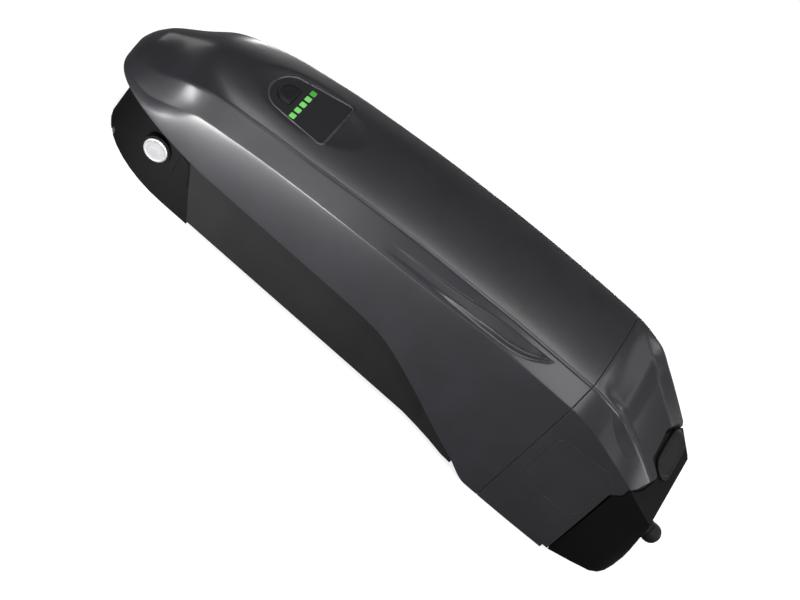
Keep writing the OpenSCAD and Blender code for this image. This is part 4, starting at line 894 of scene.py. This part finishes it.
# Each finish: its maker, its material, its colour or the setting that holds it, and the rest of its values
FINISHES = {
    "hood": (moulded, "hood_satin", "hood", dict(
        rough=0.42, edge=0.7, edge_wear_and_highlight=3.0, specular=0.35, tint=(0.0262, 0.0248, 0.0312), coat=0.8)),
    "tray": (moulded, "tray_satin", "tray", dict(rough=0.50, grain=0.04, grain_scale=1800, specular=0.2)),
    "mount": (moulded, "mount_matte", "mount", dict(rough=0.58, grain=0.05, grain_scale=1500, specular=0.15)),
    "trim": (moulded, "trim_satin", "hood", dict(rough=0.40, tone=0.9, edge=0.25, edge_wear_and_highlight=3.5)),
    "inner_black": (moulded, "inner_black", (0.02, 0.02, 0.02), dict(rough=0.6, grain=0.05)),
    "holder": (moulded, "holder_moulded", (0.62, 0.60, 0.52), dict(rough=0.45, edge_wear_and_highlight=1.1)),
    "chip": (moulded, "chip_white", (0.75, 0.74, 0.66), dict(rough=0.35, edge_wear_and_highlight=1.1)),
    "epoxy": (moulded, "epoxy_black", (0.015, 0.015, 0.016), dict(rough=0.45)),
    "cap_rubber": (rubber, "cap_rubber", (0.008, 0.008, 0.0085), {}),
    "seal_rubber": (rubber, "seal_rubber", (0.02, 0.02, 0.02), dict(rough=0.7)),
    "button": (rubber, "button_rubber", (0.010, 0.010, 0.012), dict(rough=0.40)),
    "panel": (panel_gloss, "panel_film", (0.020, 0.020, 0.024), {}),
    "lamp": (lamp_glow, "lamp_window", "lamp", dict(dim_place=0.0075, dim_reach=0.0015)),
    "rim": (metal, "rim_satin", "rim", dict(rough=0.30, scale=900, edge=0.15, depth=0.004)),
    "key_disc": (metal, "key_disc_satin", "key_disc", dict(rough=0.42, scale=700, edge=0.3, depth=0.004)),
    "rail": (metal, "rail_anodised", (0.62, 0.62, 0.64), dict(rough=0.34, along=(1, 90, 90), scale=12)),
    "steel": (metal, "zinc_steel", (0.60, 0.60, 0.58), dict(rough=0.28, scale=260)),
    "cast": (metal, "cast_zinc", (0.42, 0.42, 0.43), dict(rough=0.42, scale=500, depth=0.03)),
    "nickel": (metal, "rolled_nickel", (0.66, 0.64, 0.60), dict(rough=0.30, along=(60, 60, 1), scale=14)),
    "contact": (metal, "gold_plate", (0.86, 0.62, 0.22), dict(rough=0.22)),
    "brass": (metal, "clip_brass", (0.75, 0.55, 0.25), dict(rough=0.30)),
    "sink": (metal, "extruded_aluminium", (0.72, 0.72, 0.73), dict(rough=0.38, along=(60, 1, 60), scale=12)),
    "board": (printed_board, "solder_mask", (0.01, 0.09, 0.035), {}),
    "sleeve": (shrink_sleeve, "cell_sleeve", "sleeve", dict(bare=(0.0320, 0.0323))),
    "sheet": (stiff_sheet, "fish_paper", (0.55, 0.46, 0.26), {}),
    "foam": (foam, "cell_foam", (0.10, 0.10, 0.105), {}),
    "fuse": (ceramic, "fuse_ceramic", (0.80, 0.79, 0.74), dict(bare=(0.0098, 0.0100))),
}
_finishes = {}


def finish(name):
    """A finish by name, made once."""
    if name not in _finishes:
        maker, material, colour, values = FINISHES[name]
        if isinstance(colour, str):
            colour = tuple(getattr(bpy.context.scene.battery_colours, colour))
        _finishes[name] = maker(material, colour, **values)
    return _finishes[name]


def pack_form():
    return PackForm(bpy.context.scene.battery_pack)


# Panel geometry, in the panel's own frame: x runs from the nose end, z is up from its face

# Place along the pack, how far to either side the tilt is read, and how far the face lies under the dish
PANEL_SHARE = 0.251
PANEL_REACH_SHARE = 0.05
PANEL_SINK = 0.35
# Outline: width and length of the arched end, radius of the square end's corners, and points on both
ARCH_WIDTH_SHARE = 0.77
ARCH_RUN_SHARE = 0.28
PANEL_CORNER = 3
ARC_STEPS = 24
CORNER_STEPS = 10
# Button: size, length of its arch, where its straight end's corners are, and place from the nose end
BUTTON_LENGTH = 9.5
BUTTON_WIDTH = 15
BUTTON_RUN_SHARE = 0.6
BUTTON_FLATS = (0.6, 1.5)
BUTTON_IN = 9.6
# Lamps: place from the button and across, length, width and corner of a window, and how proud it stands
LAMPS_ON = 9.8
LAMPS_ASIDE = -0.9
LAMP_SIZE = (3.1, 3.8, 0.5)
LAMP_PROUD = 0.02
# Gaps around the face, a lamp, the button and the whole panel
FACE_GAP = 0.05
LAMP_GAP = 0.05
BUTTON_GAP = 0.2
SEAT_GAP = 0.12
# The panel's seat and opening in the hood: depths, width of the land, and reach of the cutters
SEAT_DEPTH = 3
SEAT_LAND = 2
OPENING_DEPTH = 12
OVER_PANEL = 6
PANEL_CUT = 5
RIM_CUT = 1


def panel_frame(form):
    """Matrix that takes the panel's own frame, in millimetres times MM, onto the pack."""
    rise = form.crown_z(PANEL_SHARE + PANEL_REACH_SHARE) - form.crown_z(PANEL_SHARE - PANEL_REACH_SHARE)
    tilt = math.atan(rise / (2 * PANEL_REACH_SHARE * form.length))
    top = form.crown_z(PANEL_SHARE) - form.dish_depth - PANEL_SINK
    return Matrix.Translation(Vector((form.place(PANEL_SHARE), 0, top)) * MM) @ Matrix.Rotation(-tilt, 4, "Y")


def both_sides(half):
    """Closed outline from its near half, which starts on the middle line."""
    return half + [(x, -y) for x, y in reversed(half[1:])]


def arch(length, width, run):
    """Half of a blunt arch at the nose end."""
    turns = [math.radians(90 * k / ARC_STEPS) for k in range(ARC_STEPS + 1)]
    return [(-length / 2 + run * (1 - math.cos(a)), width / 2 * math.sin(a)) for a in turns]


def panel_outline(inset):
    """The panel's outline: arched at the nose end, square with rounded corners at the other."""
    s = bpy.context.scene.battery_panel
    length, width, corner = s.length / MM - 2 * inset, s.width / MM - 2 * inset, PANEL_CORNER - inset / 2
    half = arch(length, width * ARCH_WIDTH_SHARE, length * ARCH_RUN_SHARE)
    for k in range(CORNER_STEPS + 1):
        a = math.radians(90 - 90 * k / CORNER_STEPS)
        half.append((length / 2 - corner + corner * math.cos(a), width / 2 - corner + corner * math.sin(a)))
    return both_sides(half)


def button_outline(grow=0.0):
    length, width = BUTTON_LENGTH + 2 * grow, BUTTON_WIDTH + 2 * grow
    half = arch(length, width, length * BUTTON_RUN_SHARE)
    return both_sides(half + [(length / 2, width / 2 - flat) for flat in BUTTON_FLATS])


def button_x():
    return -bpy.context.scene.battery_panel.length / MM / 2 + BUTTON_IN


def lamp_outlines(gap=0.0):
    """Outline of each lamp window, wider by a gap all round."""
    s = bpy.context.scene.battery_panel
    length, width, corner = LAMP_SIZE
    shape = rounded_box(length + 2 * gap, width + 2 * gap, corner + gap, steps=4)
    places = [LAMPS_ASIDE + (k - (s.lamps - 1) / 2) * s.lamp_pitch / MM for k in range(s.lamps)]
    return [[(button_x() + LAMPS_ON + x, place + y) for x, y in shape] for place in places]


# Shells of the pack: stretches of rings along it, and what hollows and trims them

# End of each stretch of the hood's rings as a share of the length, how many rings, and how they bunch
HOOD_STRETCHES = ((0.19, 62, 2.0), (0.735, 150, 1.0), (0.76, 34, 1.0))
HOOD_LAST_RINGS = 18
# The end cap's rings, and where they end
END_CAP_RINGS = 120
END_CAP_LAST_SHARE = 0.998
# Distance from the seam, or from the pack's end, and the inset that rounds the edge there
SEAM_ROUND = ((0.36, 0.0), (0.2, 0.03), (0.1, 0.09), (0.03, 0.18), (0.0, 0.30))
END_ROUND = ((0.35, 0.06), (0.12, 0.2), (0.0, 0.42))
SEAM_REACH = 0.6
# Hollow of the shells: rings in the hood and the end cap, how they bunch, and how far the nose's wall leans
CORE_RINGS = 60
END_CORE_RINGS = 24
CORE_BUNCHING = 1.4
CORE_LEAN_SHARE = 0.3
# Reach of the cutters past what they cut, beyond the pack's end, over its height, below it and aside of it
OVERRUN = 2
BEYOND_END = 10
ABOVE_SHARE = 1.3
BELOW = -100
ASIDE = 90
# Thickness of the inlays in the end cap's flanks, and the room under, outside and around them
LEAF_THICKNESS = 0.9
PLATE_THICKNESS = 0.8
RECESS_ROOM = 0.1
RECESS_PAST = 0.01
INLAY_GAP = 0.12
# Leaf: half its size, and the points on each of its rounded corners
LEAF_REACH = 9
LEAF_CORNER_SHARES = (0.0, 0.25, 0.5, 0.75)
# Side plate: place along the pack and height of its middle, then its length, height and corner
PLATE_SHARES = (0.895, 0.485)
PLATE_SIZE = (34, 38, 5)
# How far from the middle the inlays' prisms start and end
LEAF_FROM = 26
PLATE_FROM = 20
PRISM_END = 60
# Openings in the end cap's wall: reach before and behind it, half width, and heights from and to
WALL_CUT = 3
SOCKET_MOUTH = (20.2, 15.25, 37.65)
FOOT_NOTCH = (90, -13, 3)

# Angles in degrees from which an edge stays sharp
SHELL_SHARP = 28
PANEL_SHARP = 12
TURNED_SHARP = 40
SOFT_SHARP = 50


def spaced(low, high, count, power=1.0):
    return [lerp(low, high, (k / count) ** power) for k in range(count + 1)]


# Operators: one for each piece or group of like pieces

class BATTERY_OT_hood(bpy.types.Operator):
    """Smooth hood over the cells, with its scoops and the dish around the panel"""

    bl_idname = "battery.hood"
    bl_label = "Hood"

    def execute(self, context):
        form = pack_form()
        end_x = form.place(PART_SHARE) - form.seam / 2
        start, places = NOSE_START_SHARE, [NOSE_START_SHARE]
        last = (form.share(end_x - SEAM_REACH), HOOD_LAST_RINGS, 1.0)
        for stop, count, power in (*HOOD_STRETCHES, last):
            places += spaced(start, stop, count, power)[1:]
            start = stop
        rings = [form.ring(form.place(u), u) for u in places]
        rings += [form.ring(end_x - back, form.share(end_x - back), inset) for back, inset in SEAM_ROUND]
        hood = skin("hood_shell", rings)
        inner = [form.core(form.place(u) + form.wall * (1 - smooth(u / CORE_LEAN_SHARE)), u)
                 for u in spaced(NOSE_START_SHARE, PART_SHARE, CORE_RINGS, CORE_BUNCHING)]
        inner.append(form.core(form.place(PART_SHARE) + OVERRUN, PART_SHARE))
        carve(hood, skin("core", inner))
        matrix = panel_frame(form)
        carve(hood, upright("seat", panel_outline(-SEAT_GAP), -SEAT_DEPTH, OVER_PANEL, matrix),
              upright("opening", panel_outline(SEAT_LAND), -OPENING_DEPTH, OVER_PANEL, matrix))
        dressed(hood, finish("hood"), "pack", "hood", "upper_shell", angle=SHELL_SHARP)
        return {"FINISHED"}


def end_solid(form, name):
    """Closed outer solid of the end cap, before it is hollowed and trimmed."""
    start_x = form.place(PART_SHARE) + form.seam / 2
    rings = [form.ring(start_x + ahead, form.share(start_x + ahead), inset)
             for ahead, inset in reversed(SEAM_ROUND)]
    rings += [form.ring(form.place(u), u)
              for u in spaced(form.share(start_x + SEAM_REACH), END_CAP_LAST_SHARE, END_CAP_RINGS)]
    rings += [form.ring(form.place(1) - back, 1, inset) for back, inset in END_ROUND]
    return skin(name, rings)


def leaf_prism(form, grow, side):
    """Prism across the pack over the leaf inlay's outline, for one side."""
    points = [form.band_point(u, s) for u, s in LEAF_SHARES]
    count = len(points)
    cx, cz = (sum(p[axis] for p in points) / count for axis in (0, 1))
    corners = []
    for i in range(count):
        a, b, c = points[i - 1], points[i], points[(i + 1) % count]
        start, end = (tuple((q + w) / 2 for q, w in zip(*pair)) for pair in ((a, b), (b, c)))
        corners += [bend(start, b, end, t) for t in LEAF_CORNER_SHARES]
    scale = 1 + grow / LEAF_REACH
    spread = [(cx + (x - cx) * scale, cz + (z - cz) * scale) for x, z in corners]
    return across("leaf", spread, side * LEAF_FROM, side * PRISM_END)


def plate_prism(form, grow, side):
    """Prism across the pack over the side plate's outline, for one side."""
    cx, cz = form.place(PLATE_SHARES[0]), PLATE_SHARES[1] * form.height
    length, height, corner = PLATE_SIZE
    shape = rounded_box(length + 2 * grow, height + 2 * grow, corner + grow, steps=10)
    points = [(cx + x, cz + z) for x, z in shape]
    return across("plate", points, side * PLATE_FROM, side * PRISM_END)


def flank_slab(outer, prism, depth):
    """What lies inside a prism and less than a depth, with its sign, below the flank."""
    slab = carve(copy_of(outer, "slab"), prism, operation="INTERSECT")
    return carve(slab, copy_of(outer, "below", (0, -depth, 0)))


class BATTERY_OT_end_cap(bpy.types.Operator):
    """End cap with its sunk slope, lip, leaf inlays and side plates"""

    bl_idname = "battery.end_cap"
    bl_label = "End cap"

    def execute(self, context):
        form = pack_form()
        outer = end_solid(form, "end_cap_shell")
        inlays, plates, recesses = [], [], []
        for side in (-1, 1):
            for pieces, prism, thickness in ((inlays, leaf_prism, LEAF_THICKNESS),
                                             (plates, plate_prism, PLATE_THICKNESS)):
                pieces.append(flank_slab(outer, prism(form, 0.0, side), side * thickness))
                recess = flank_slab(outer, prism(form, INLAY_GAP, side), side * (thickness + RECESS_ROOM))
                recess.data.transform(Matrix.Translation((0, side * RECESS_PAST * MM, 0)))
                recesses.append(recess)
        wall_x, wall_in = form.end_wall_x, form.end_wall_x - form.wall
        inner = [form.core(x, form.share(x))
                 for x in spaced(form.place(PART_SHARE) - OVERRUN, wall_in, END_CORE_RINGS)]
        carve(outer, skin("core", inner))
        lip = [(form.place(u), w * form.width) for u, w in LIP_SHARES]
        beyond = form.place(1) + BEYOND_END
        room = [*lip, (beyond, lip[-1][1]), (beyond, lip[0][1])]
        carve(outer, upright("beside_lip", room, form.ledge_z - form.wall, form.height * ABOVE_SHARE))
        under = [(wall_x, BELOW), (wall_x, form.ledge_z - form.lip_rise),
                 (wall_x + form.lip_rise, form.ledge_z), (beyond, form.ledge_z), (beyond, BELOW)]
        carve(outer, across("under_lip", under, -ASIDE, ASIDE))
        for name, start_x, (half_width, low, high) in (("socket_mouth", wall_in, SOCKET_MOUTH),
                                                       ("foot_notch", wall_x, FOOT_NOTCH)):
            start, end = (start_x - WALL_CUT, -half_width, low), (wall_x + WALL_CUT, half_width, high)
            carve(outer, block(name, start, end))
        carve(outer, *recesses)
        dressed(outer, finish("hood"), "pack", "hood", "end_cap", angle=SHELL_SHARP)
        dressed(joined("cap_inlay_pair", *inlays), finish("trim"), "pack", "trim", "cap_inlays",
                angle=SHELL_SHARP)
        dressed(joined("side_plate_pair", *plates), finish("hood"), "pack", "trim", "side_plates",
                angle=SHELL_SHARP)
        return {"FINISHED"}


# Width and segments of the rounded edges of the rim, the face and the lamps
RIM_EDGE = (0.14, 3)
FACE_EDGE = (0.08, 2)
LAMP_EDGE = (0.1, 2)
PANEL_EDGE_ANGLE = 40


class BATTERY_OT_panel(bpy.types.Operator):
    """Indicator panel: bright rim, coated face and lit lamp windows"""

    bl_idname = "battery.panel"
    bl_label = "Indicator panel"

    def execute(self, context):
        form = pack_form()
        s = context.scene.battery_panel
        matrix = panel_frame(form)
        rim, thick, rise = s.rim / MM, s.thickness / MM, s.rim_height / MM
        ring = upright("panel_rim", panel_outline(0), -thick, rise, matrix)
        carve(ring, upright("hole", panel_outline(rim), -thick - RIM_CUT, rise + RIM_CUT, matrix))
        soften(ring, *RIM_EDGE, PANEL_EDGE_ANGLE)
        dressed(ring, finish("rim"), "pack", "bezel", "indicator_bezel")
        face = upright("panel_face", panel_outline(rim + FACE_GAP), -thick, 0, matrix)
        button_hole = [(x + button_x(), y) for x, y in button_outline(BUTTON_GAP)]
        for hole in (button_hole, *lamp_outlines(LAMP_GAP)):
            carve(face, upright("hole", hole, -PANEL_CUT, PANEL_CUT, matrix))
        soften(face, *FACE_EDGE, PANEL_EDGE_ANGLE)
        dressed(face, finish("panel"), "pack", "panel", "indicator_panel", angle=PANEL_SHARP)
        lamps = [soften(upright("lamp", window, -thick, LAMP_PROUD, matrix), *LAMP_EDGE, PANEL_EDGE_ANGLE)
                 for window in lamp_outlines()]
        dressed(joined("lamp_windows", *lamps), finish("lamp"), "pack", "lamp", "led_windows",
                angle=PANEL_SHARP)
        return {"FINISHED"}


# Dome of the button: its rings, how much they draw in and how late, the size of the last, the height of the
# first, the point that they draw in to, and the dip on top with where it starts; then its stem
DOME_STEPS = 14
DOME_DRAW_SHARE = 0.30
DOME_DRAW_POWER = 2.2
DOME_LAST_SHARE = 0.12
DOME_FOOT_SHARE = 0.10
DOME_MIDDLE_X = 0.4
DIP = 0.25
DIP_START_SHARE = 0.7
DIP_RUN_SHARE = 0.3
STEM = ((0, -6.1), (1.2, -6.1), (1.5, -5.9))
STEM_OVERLAP = 0.3


class BATTERY_OT_button(bpy.types.Operator):
    """Domed push button over its switch"""

    bl_idname = "battery.button"
    bl_label = "Power button"

    def execute(self, context):
        form = pack_form()
        s = context.scene.battery_panel
        matrix = panel_frame(form)
        thick, rise = s.thickness / MM, s.button_rise / MM
        outline = button_outline()
        rings = [[(x, y, -thick) for x, y in outline]]
        for k in range(DOME_STEPS + 1):
            t = k / DOME_STEPS
            grip = 1 - (1 - DOME_DRAW_SHARE) * t ** DOME_DRAW_POWER if k < DOME_STEPS else DOME_LAST_SHARE
            height = rise * (DOME_FOOT_SHARE + (1 - DOME_FOOT_SHARE) * (1 - (1 - t) ** 2))
            height -= DIP * smooth((t - DIP_START_SHARE) / DIP_RUN_SHARE)
            rings.append([(DOME_MIDDLE_X + (x - DOME_MIDDLE_X) * grip, y * grip, height) for x, y in outline])
        rings = [[(x + button_x(), y, z) for x, y, z in ring] for ring in rings]
        cap = skin("dome_button", rings, matrix)
        stem_top = -thick + STEM_OVERLAP
        stem = lathe("stem", [*STEM, (STEM[-1][0], stem_top), (0, stem_top)], steps=32,
                     matrix=matrix @ Matrix.Translation((button_x() * MM, 0, 0)))
        dressed(joined("dome_button", cap, stem), finish("button"), "button", "trim", "power_button",
                angle=SOFT_SHARP)
        return {"FINISHED"}


def turn_out(x, y, z):
    """Matrix whose own Z points out of the near side."""
    return Matrix.Translation(Vector((x, y, z)) * MM) @ Matrix.Rotation(math.pi / 2, 4, "X")


# Key disc: radius and height of its boss, then how far in from its edge and how high its front is
DISC_BOSS = ((3.6, 0), (3.9, 0), (4.9, 0.4))
DISC_BACK = -1.3
DISC_FRONT = ((0.5, -1.25), (0, -1.05), (0, -0.42), (0.16, -0.16), (0.45, -0.03), (1.0, 0.0), (1.25, -0.10),
              (1.5, -0.12))
DISC_MIDDLE = ((2.0, -0.06), (0, -0.05))


class BATTERY_OT_key_disc(bpy.types.Operator):
    """Pale disc over the keyway, with a short skirt"""

    bl_idname = "battery.key_disc"
    bl_label = "Key disc"

    def execute(self, context):
        low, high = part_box("key_cap")
        cx, cz = (low.x + high.x) / 2 / MM, (low.z + high.z) / 2 / MM
        radius = (high.x - low.x) / 2 / MM
        front, back = low.y / MM, high.y / MM
        deep = back - front
        profile = [(0, -deep), *((r, rise - deep) for r, rise in DISC_BOSS), (DISC_BOSS[-1][0], DISC_BACK),
                   *((radius - inset, z) for inset, z in DISC_FRONT), *DISC_MIDDLE]
        disc = lathe("key_disc", profile, steps=96, matrix=turn_out(cx, front, cz))
        dressed(disc, finish("key_disc"), "keyhole_cap", "key_cap", "key_cap", angle=TURNED_SHARP)
        return {"FINISHED"}


# Charge flap: its place and size, and the inset and height of each ring from its foot to its face
FLAP_SLOPE = 35.8
FLAP_SHARES = (1.0025, 0.136)
FLAP_SIZE = (15, 35, 7.4)
FLAP_RINGS = ((0.3, 0.2), (0.05, 0.35), (0.0, 0.6), (0.0, 1.1), (0.12, 1.45), (0.45, 1.70), (0.9, 1.85),
              (1.35, 2.1), (1.55, 2.35), (1.85, 2.55), (2.2, 2.6), (2.55, 2.52), (2.85, 2.28), (3.2, 2.12),
              (3.8, 2.08), (4.6, 2.14), (5.4, 2.2))


class BATTERY_OT_charge_flap(bpy.types.Operator):
    """Soft rubber cap over the charge socket, with a raised rim"""

    bl_idname = "battery.charge_flap"
    bl_label = "Charge flap"

    def execute(self, context):
        form = pack_form()
        slope = math.radians(FLAP_SLOPE)
        x = form.nose_x + FLAP_SHARES[0] * form.length
        z = form.flat_end_z - (x - form.flat_end_x) * math.tan(slope)
        matrix = (Matrix.Translation(Vector((x, FLAP_SHARES[1] * form.width, z)) * MM)
                  @ Matrix.Rotation(slope, 4, "Y"))
        length, width, corner = FLAP_SIZE
        rings = []
        for inset, height in FLAP_RINGS:
            outline = rounded_box(length - 2 * inset, width - 2 * inset, corner - inset, steps=12)
            rings.append([(px, py, height) for px, py in outline])
        flap = skin("charge_flap_cap", rings, matrix)
        dressed(flap, finish("cap_rubber"), "charge_flap", "rubber", "charge_cap", angle=SOFT_SHARP)
        return {"FINISHED"}


# Gland: length of its head, width of its neck, and how far in and how far on the head's rings are
GLAND_HEAD = 9.5
GLAND_NECK_SHARE = 0.7
GLAND_RINGS = ((0.5, 0), (0, 0.4), (0, 1.5), (0.35, 1.8), (0.35, 2.1), (0, 2.4))
GLAND_STEPS = 12


class BATTERY_OT_gland(bpy.types.Operator):
    """Rounded rubber gland of the motor cable"""

    bl_idname = "battery.gland"
    bl_label = "Cable gland"

    def execute(self, context):
        low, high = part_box("cable_gland")
        x0, x1 = low.x / MM, high.x / MM
        cz = (low.z + high.z) / 2 / MM
        radius = (high.z - low.z) / 2 / MM
        neck, seat = radius * GLAND_NECK_SHARE, x1 - GLAND_HEAD
        profile = [(0, x0), (neck, x0), (neck, seat)]
        profile += [(radius - inset, seat + ahead) for inset, ahead in GLAND_RINGS]
        for k in range(1, GLAND_STEPS):
            a = math.radians(90 * k / GLAND_STEPS)
            profile.append((radius * math.cos(a), x1 - radius + radius * math.sin(a)))
        profile.append((0, x1))
        matrix = Matrix.Translation((0, 0, cz * MM)) @ Matrix.Rotation(math.pi / 2, 4, "Y")
        gland = lathe("motor_gland", profile, steps=72, matrix=matrix)
        dressed(gland, finish("cap_rubber"), "mount", "rubber", "cable_gland", angle=TURNED_SHARP)
        return {"FINISHED"}


# Solids that keep their own mesh: their finish, and the width of their soft edges in millimetres
NODE_FINISHES = {
    "lower_shell": ("tray", 0.4), "shell_seal": ("seal_rubber", 0.15), "indicator_board": ("board", 0.1),
    "led_chips": ("chip", 0.08), "button_switch": ("inner_black", 0.15), "cells": ("sleeve", 0.5),
    "cell_holder_near": ("holder", 0.25), "cell_holder_far": ("holder", 0.25),
    "bus_strips_near": ("nickel", 0.0), "bus_strips_far": ("nickel", 0.0),
    "insulator_sheets": ("sheet", 0.0), "control_board": ("board", 0.15),
    "heat_sink": ("sink", 0.15), "power_transistors": ("epoxy", 0.2), "main_fuse": ("fuse", 0.3),
    "fuse_clips": ("brass", 0.1), "foam_strips": ("foam", 0.4), "pack_socket": ("inner_black", 0.2),
    "pack_terminals": ("contact", 0.1), "strike_plate": ("steel", 0.15), "shell_screws": ("steel", 0.15),
    "end_cap_screws": ("steel", 0.15), "mount_rail": ("rail", 0.35), "key_case": ("mount", 0.5),
    "lock_housing": ("cast", 0.2), "lock_barrel": ("steel", 0.15), "lock_bolt": ("steel", 0.3),
    "bolt_guide": ("cast", 0.2), "guide_cover": ("mount", 0.15), "lower_case": ("mount", 0.5),
    "mount_plug": ("inner_black", 0.3), "mount_terminals": ("contact", 0.1),
    "charge_socket": ("inner_black", 0.2), "charge_pins": ("contact", 0.15), "rail_screws": ("steel", 0.15),
}


class BATTERY_OT_kept_nodes(bpy.types.Operator):
    """Finishes and soft edges for the solids that stay as they are"""

    bl_idname = "battery.kept_nodes"
    bl_label = "Kept solids"

    def execute(self, context):
        for name, (kind, edge) in NODE_FINISHES.items():
            dress_node(name, finish(kind), edge)
        return {"FINISHED"}


def area_light(name, place, target, size, power):
    lamp = bpy.data.lights.new(name, "AREA")
    lamp.shape = "RECTANGLE"
    lamp.size, lamp.size_y = size
    lamp.energy = power
    obj = placed(name, lamp)
    obj.location = place
    obj.rotation_euler = (Vector(target) - Vector(place)).to_track_quat("-Z", "Y").to_euler()
    obj.visible_camera = False
    return obj


# Studio lights: name, place, target and size in metres, power in watts
STUDIO = (
    ("crown_strip", (-0.05, 0.42, 1.05), (0, 0, 0.08), (1.4, 0.08), 3.0),
    ("ridge_strip", (-0.05, -0.42, 1.05), (0, 0, 0.08), (1.4, 0.09), 3.6),
    ("crown_near", (0.02, -0.08, 0.32), (0.02, 0, 0.1), (0.2, 0.1), 0.15),
    ("low_slit", (-0.15, -0.19, 0.02), (-0.08, -0.02, 0.03), (0.2, 0.03), 0.55),
    ("side_key", (-0.24, -0.22, 0.2), (-0.12, -0.02, 0.05), (0.18, 0.12), 0.10),
    ("side_near", (-0.14, -0.19, 0.09), (-0.08, -0.02, 0.045), (0.16, 0.1), 0.04),
    ("side_mid", (-0.02, -0.22, 0.02), (0, -0.02, 0.03), (0.2, 0.03), 0.04),
    ("end_side", (0.12, -0.325, 0.132), (0.12, -0.03, 0.08), (0.1, 0.06), 0.09),
    ("end_band", (0.278, -0.218, 0.252), (0.12, -0.03, 0.08), (0.1, 0.06), 0.24),
    ("end_far", (0.35, 0.25, 0.5), (0.12, 0, 0.09), (0.2, 0.12), 0.15),
    ("end_low", (1.1066, -1.1066, 0.363), (0, 0, 0.04), (0.7, 0.4), 0.7),
    ("end_rear", (1.565, 0, 0.363), (0, 0, 0.04), (0.7, 0.4), 2.4),
    ("end_high", (1.03, 0.5945, 1.1), (0, 0, 0.04), (0.7, 0.4), 1.2),
    ("back_right", (1.1, 1.1, 0.5), (0, 0, 0.04), (0.7, 0.4), 0.5),
    ("back_left", (-1.3, 0.9, 0.35), (0, 0, 0.04), (0.7, 0.4), 1.5),
    ("back_slit", (0, 0.5, 0.03), (0, 0, 0.03), (0.6, 0.04), 1.2),
    ("plug_end", (0.6, 0.1, 0.15), (0.17, 0, 0.05), (0.3, 0.15), 0.3),
)
CAMERA_TARGET = (-0.003022, 0, 0.02823)
CAMERA_CLIP = (0.05, 20)
SENSOR_WIDTH = 36
FLOOR_SPAN = 6000
FLOOR_Z = -0.2
# Strength of the world to bounced light and reflections, and to the camera
WORLD_LEVELS = (0.07, 0.96)


def stage_floor(s):
    low, high = -FLOOR_SPAN, FLOOR_SPAN
    corners = [(x, y, FLOOR_Z) for x, y in ((low, low), (high, low), (high, high), (low, high))]
    floor = mesh_piece("floor", corners, [(0, 1, 2, 3)])
    floor.data.materials.append(floor_finish(tuple(s.floor), s.bounce))


def stage_camera(s):
    """Camera at its angles and distance from the target."""
    az, el, roll = s.azimuth, s.elevation, s.roll
    right = Vector((math.cos(az), math.sin(az), 0))
    back = Vector((math.sin(az) * math.cos(el), -math.cos(az) * math.cos(el), math.sin(el)))
    up = back.cross(right)
    side = math.cos(roll) * right - math.sin(roll) * up
    top = math.sin(roll) * right + math.cos(roll) * up
    view = Matrix((side, top, back)).transposed().to_4x4()
    view.translation = Vector(CAMERA_TARGET) + back * s.distance
    data = bpy.data.cameras.new("camera")
    data.sensor_fit = "HORIZONTAL"
    data.sensor_width = SENSOR_WIDTH
    data.lens = s.lens
    data.clip_start, data.clip_end = CAMERA_CLIP
    camera = placed("camera", data)
    camera.matrix_world = view
    return camera


def stage_world():
    """White world that is pale to the camera and dim to everything else."""
    world = bpy.data.worlds.new("world")
    world.use_nodes = True
    nodes = Nodes(world.node_tree)
    sky = world.node_tree.nodes["Background"].inputs
    nodes.feed(sky["Color"], (1, 1, 1))
    dim, pale = WORLD_LEVELS
    level = nodes.node("ShaderNodeMapRange", sockets={"Value": nodes.seen(), "To Min": dim, "To Max": pale})
    nodes.feed(sky["Strength"], level.outputs["Result"])
    return world


class BATTERY_OT_stage(bpy.types.Operator):
    """Pale floor, soft studio lights and the camera"""

    bl_idname = "battery.stage"
    bl_label = "Stage"

    def execute(self, context):
        scene = context.scene
        s = scene.battery_stage
        stage_floor(s)
        scene.camera = stage_camera(s)
        for lamp in STUDIO:
            area_light(*lamp)
        scene.world = stage_world()
        scene.view_settings.view_transform = "Standard"
        scene.view_settings.look = "None"
        return {"FINISHED"}


OPERATORS = (
    BATTERY_OT_kept_nodes, BATTERY_OT_hood, BATTERY_OT_end_cap, BATTERY_OT_panel, BATTERY_OT_button,
    BATTERY_OT_key_disc, BATTERY_OT_charge_flap, BATTERY_OT_gland, BATTERY_OT_stage,
)


class BATTERY_PT_pieces(bpy.types.Panel):
    """Sidebar panel that lists the pieces"""

    bl_label = "Down-tube battery"
    bl_idname = "BATTERY_PT_pieces"
    bl_space_type = "VIEW_3D"
    bl_region_type = "UI"
    bl_category = "Battery"

    def draw(self, context):
        for group in ("battery_pack", "battery_panel", "battery_colours", "battery_stage"):
            settings = getattr(context.scene, group)
            box = self.layout.box()
            for name in settings.__annotations__:
                box.prop(settings, name)
        for operator in OPERATORS:
            self.layout.operator(operator.bl_idname)


GROUPS = (
    (PackSizes, "battery_pack"), (PanelSizes, "battery_panel"), (FinishColours, "battery_colours"),
    (StageSettings, "battery_stage"),
)


def register():
    for group, name in GROUPS:
        bpy.utils.register_class(group)
        setattr(bpy.types.Scene, name, PointerProperty(type=group))
    for kind in (*OPERATORS, BATTERY_PT_pieces):
        bpy.utils.register_class(kind)


def unregister():
    for kind in (BATTERY_PT_pieces, *reversed(OPERATORS)):
        bpy.utils.unregister_class(kind)
    for group, name in reversed(GROUPS):
        delattr(bpy.types.Scene, name)
        bpy.utils.unregister_class(group)


def main():
    register()
    for operator in OPERATORS:
        family, name = operator.bl_idname.split(".")
        getattr(getattr(bpy.ops, family), name)()


if __name__ == "__main__":
    main()
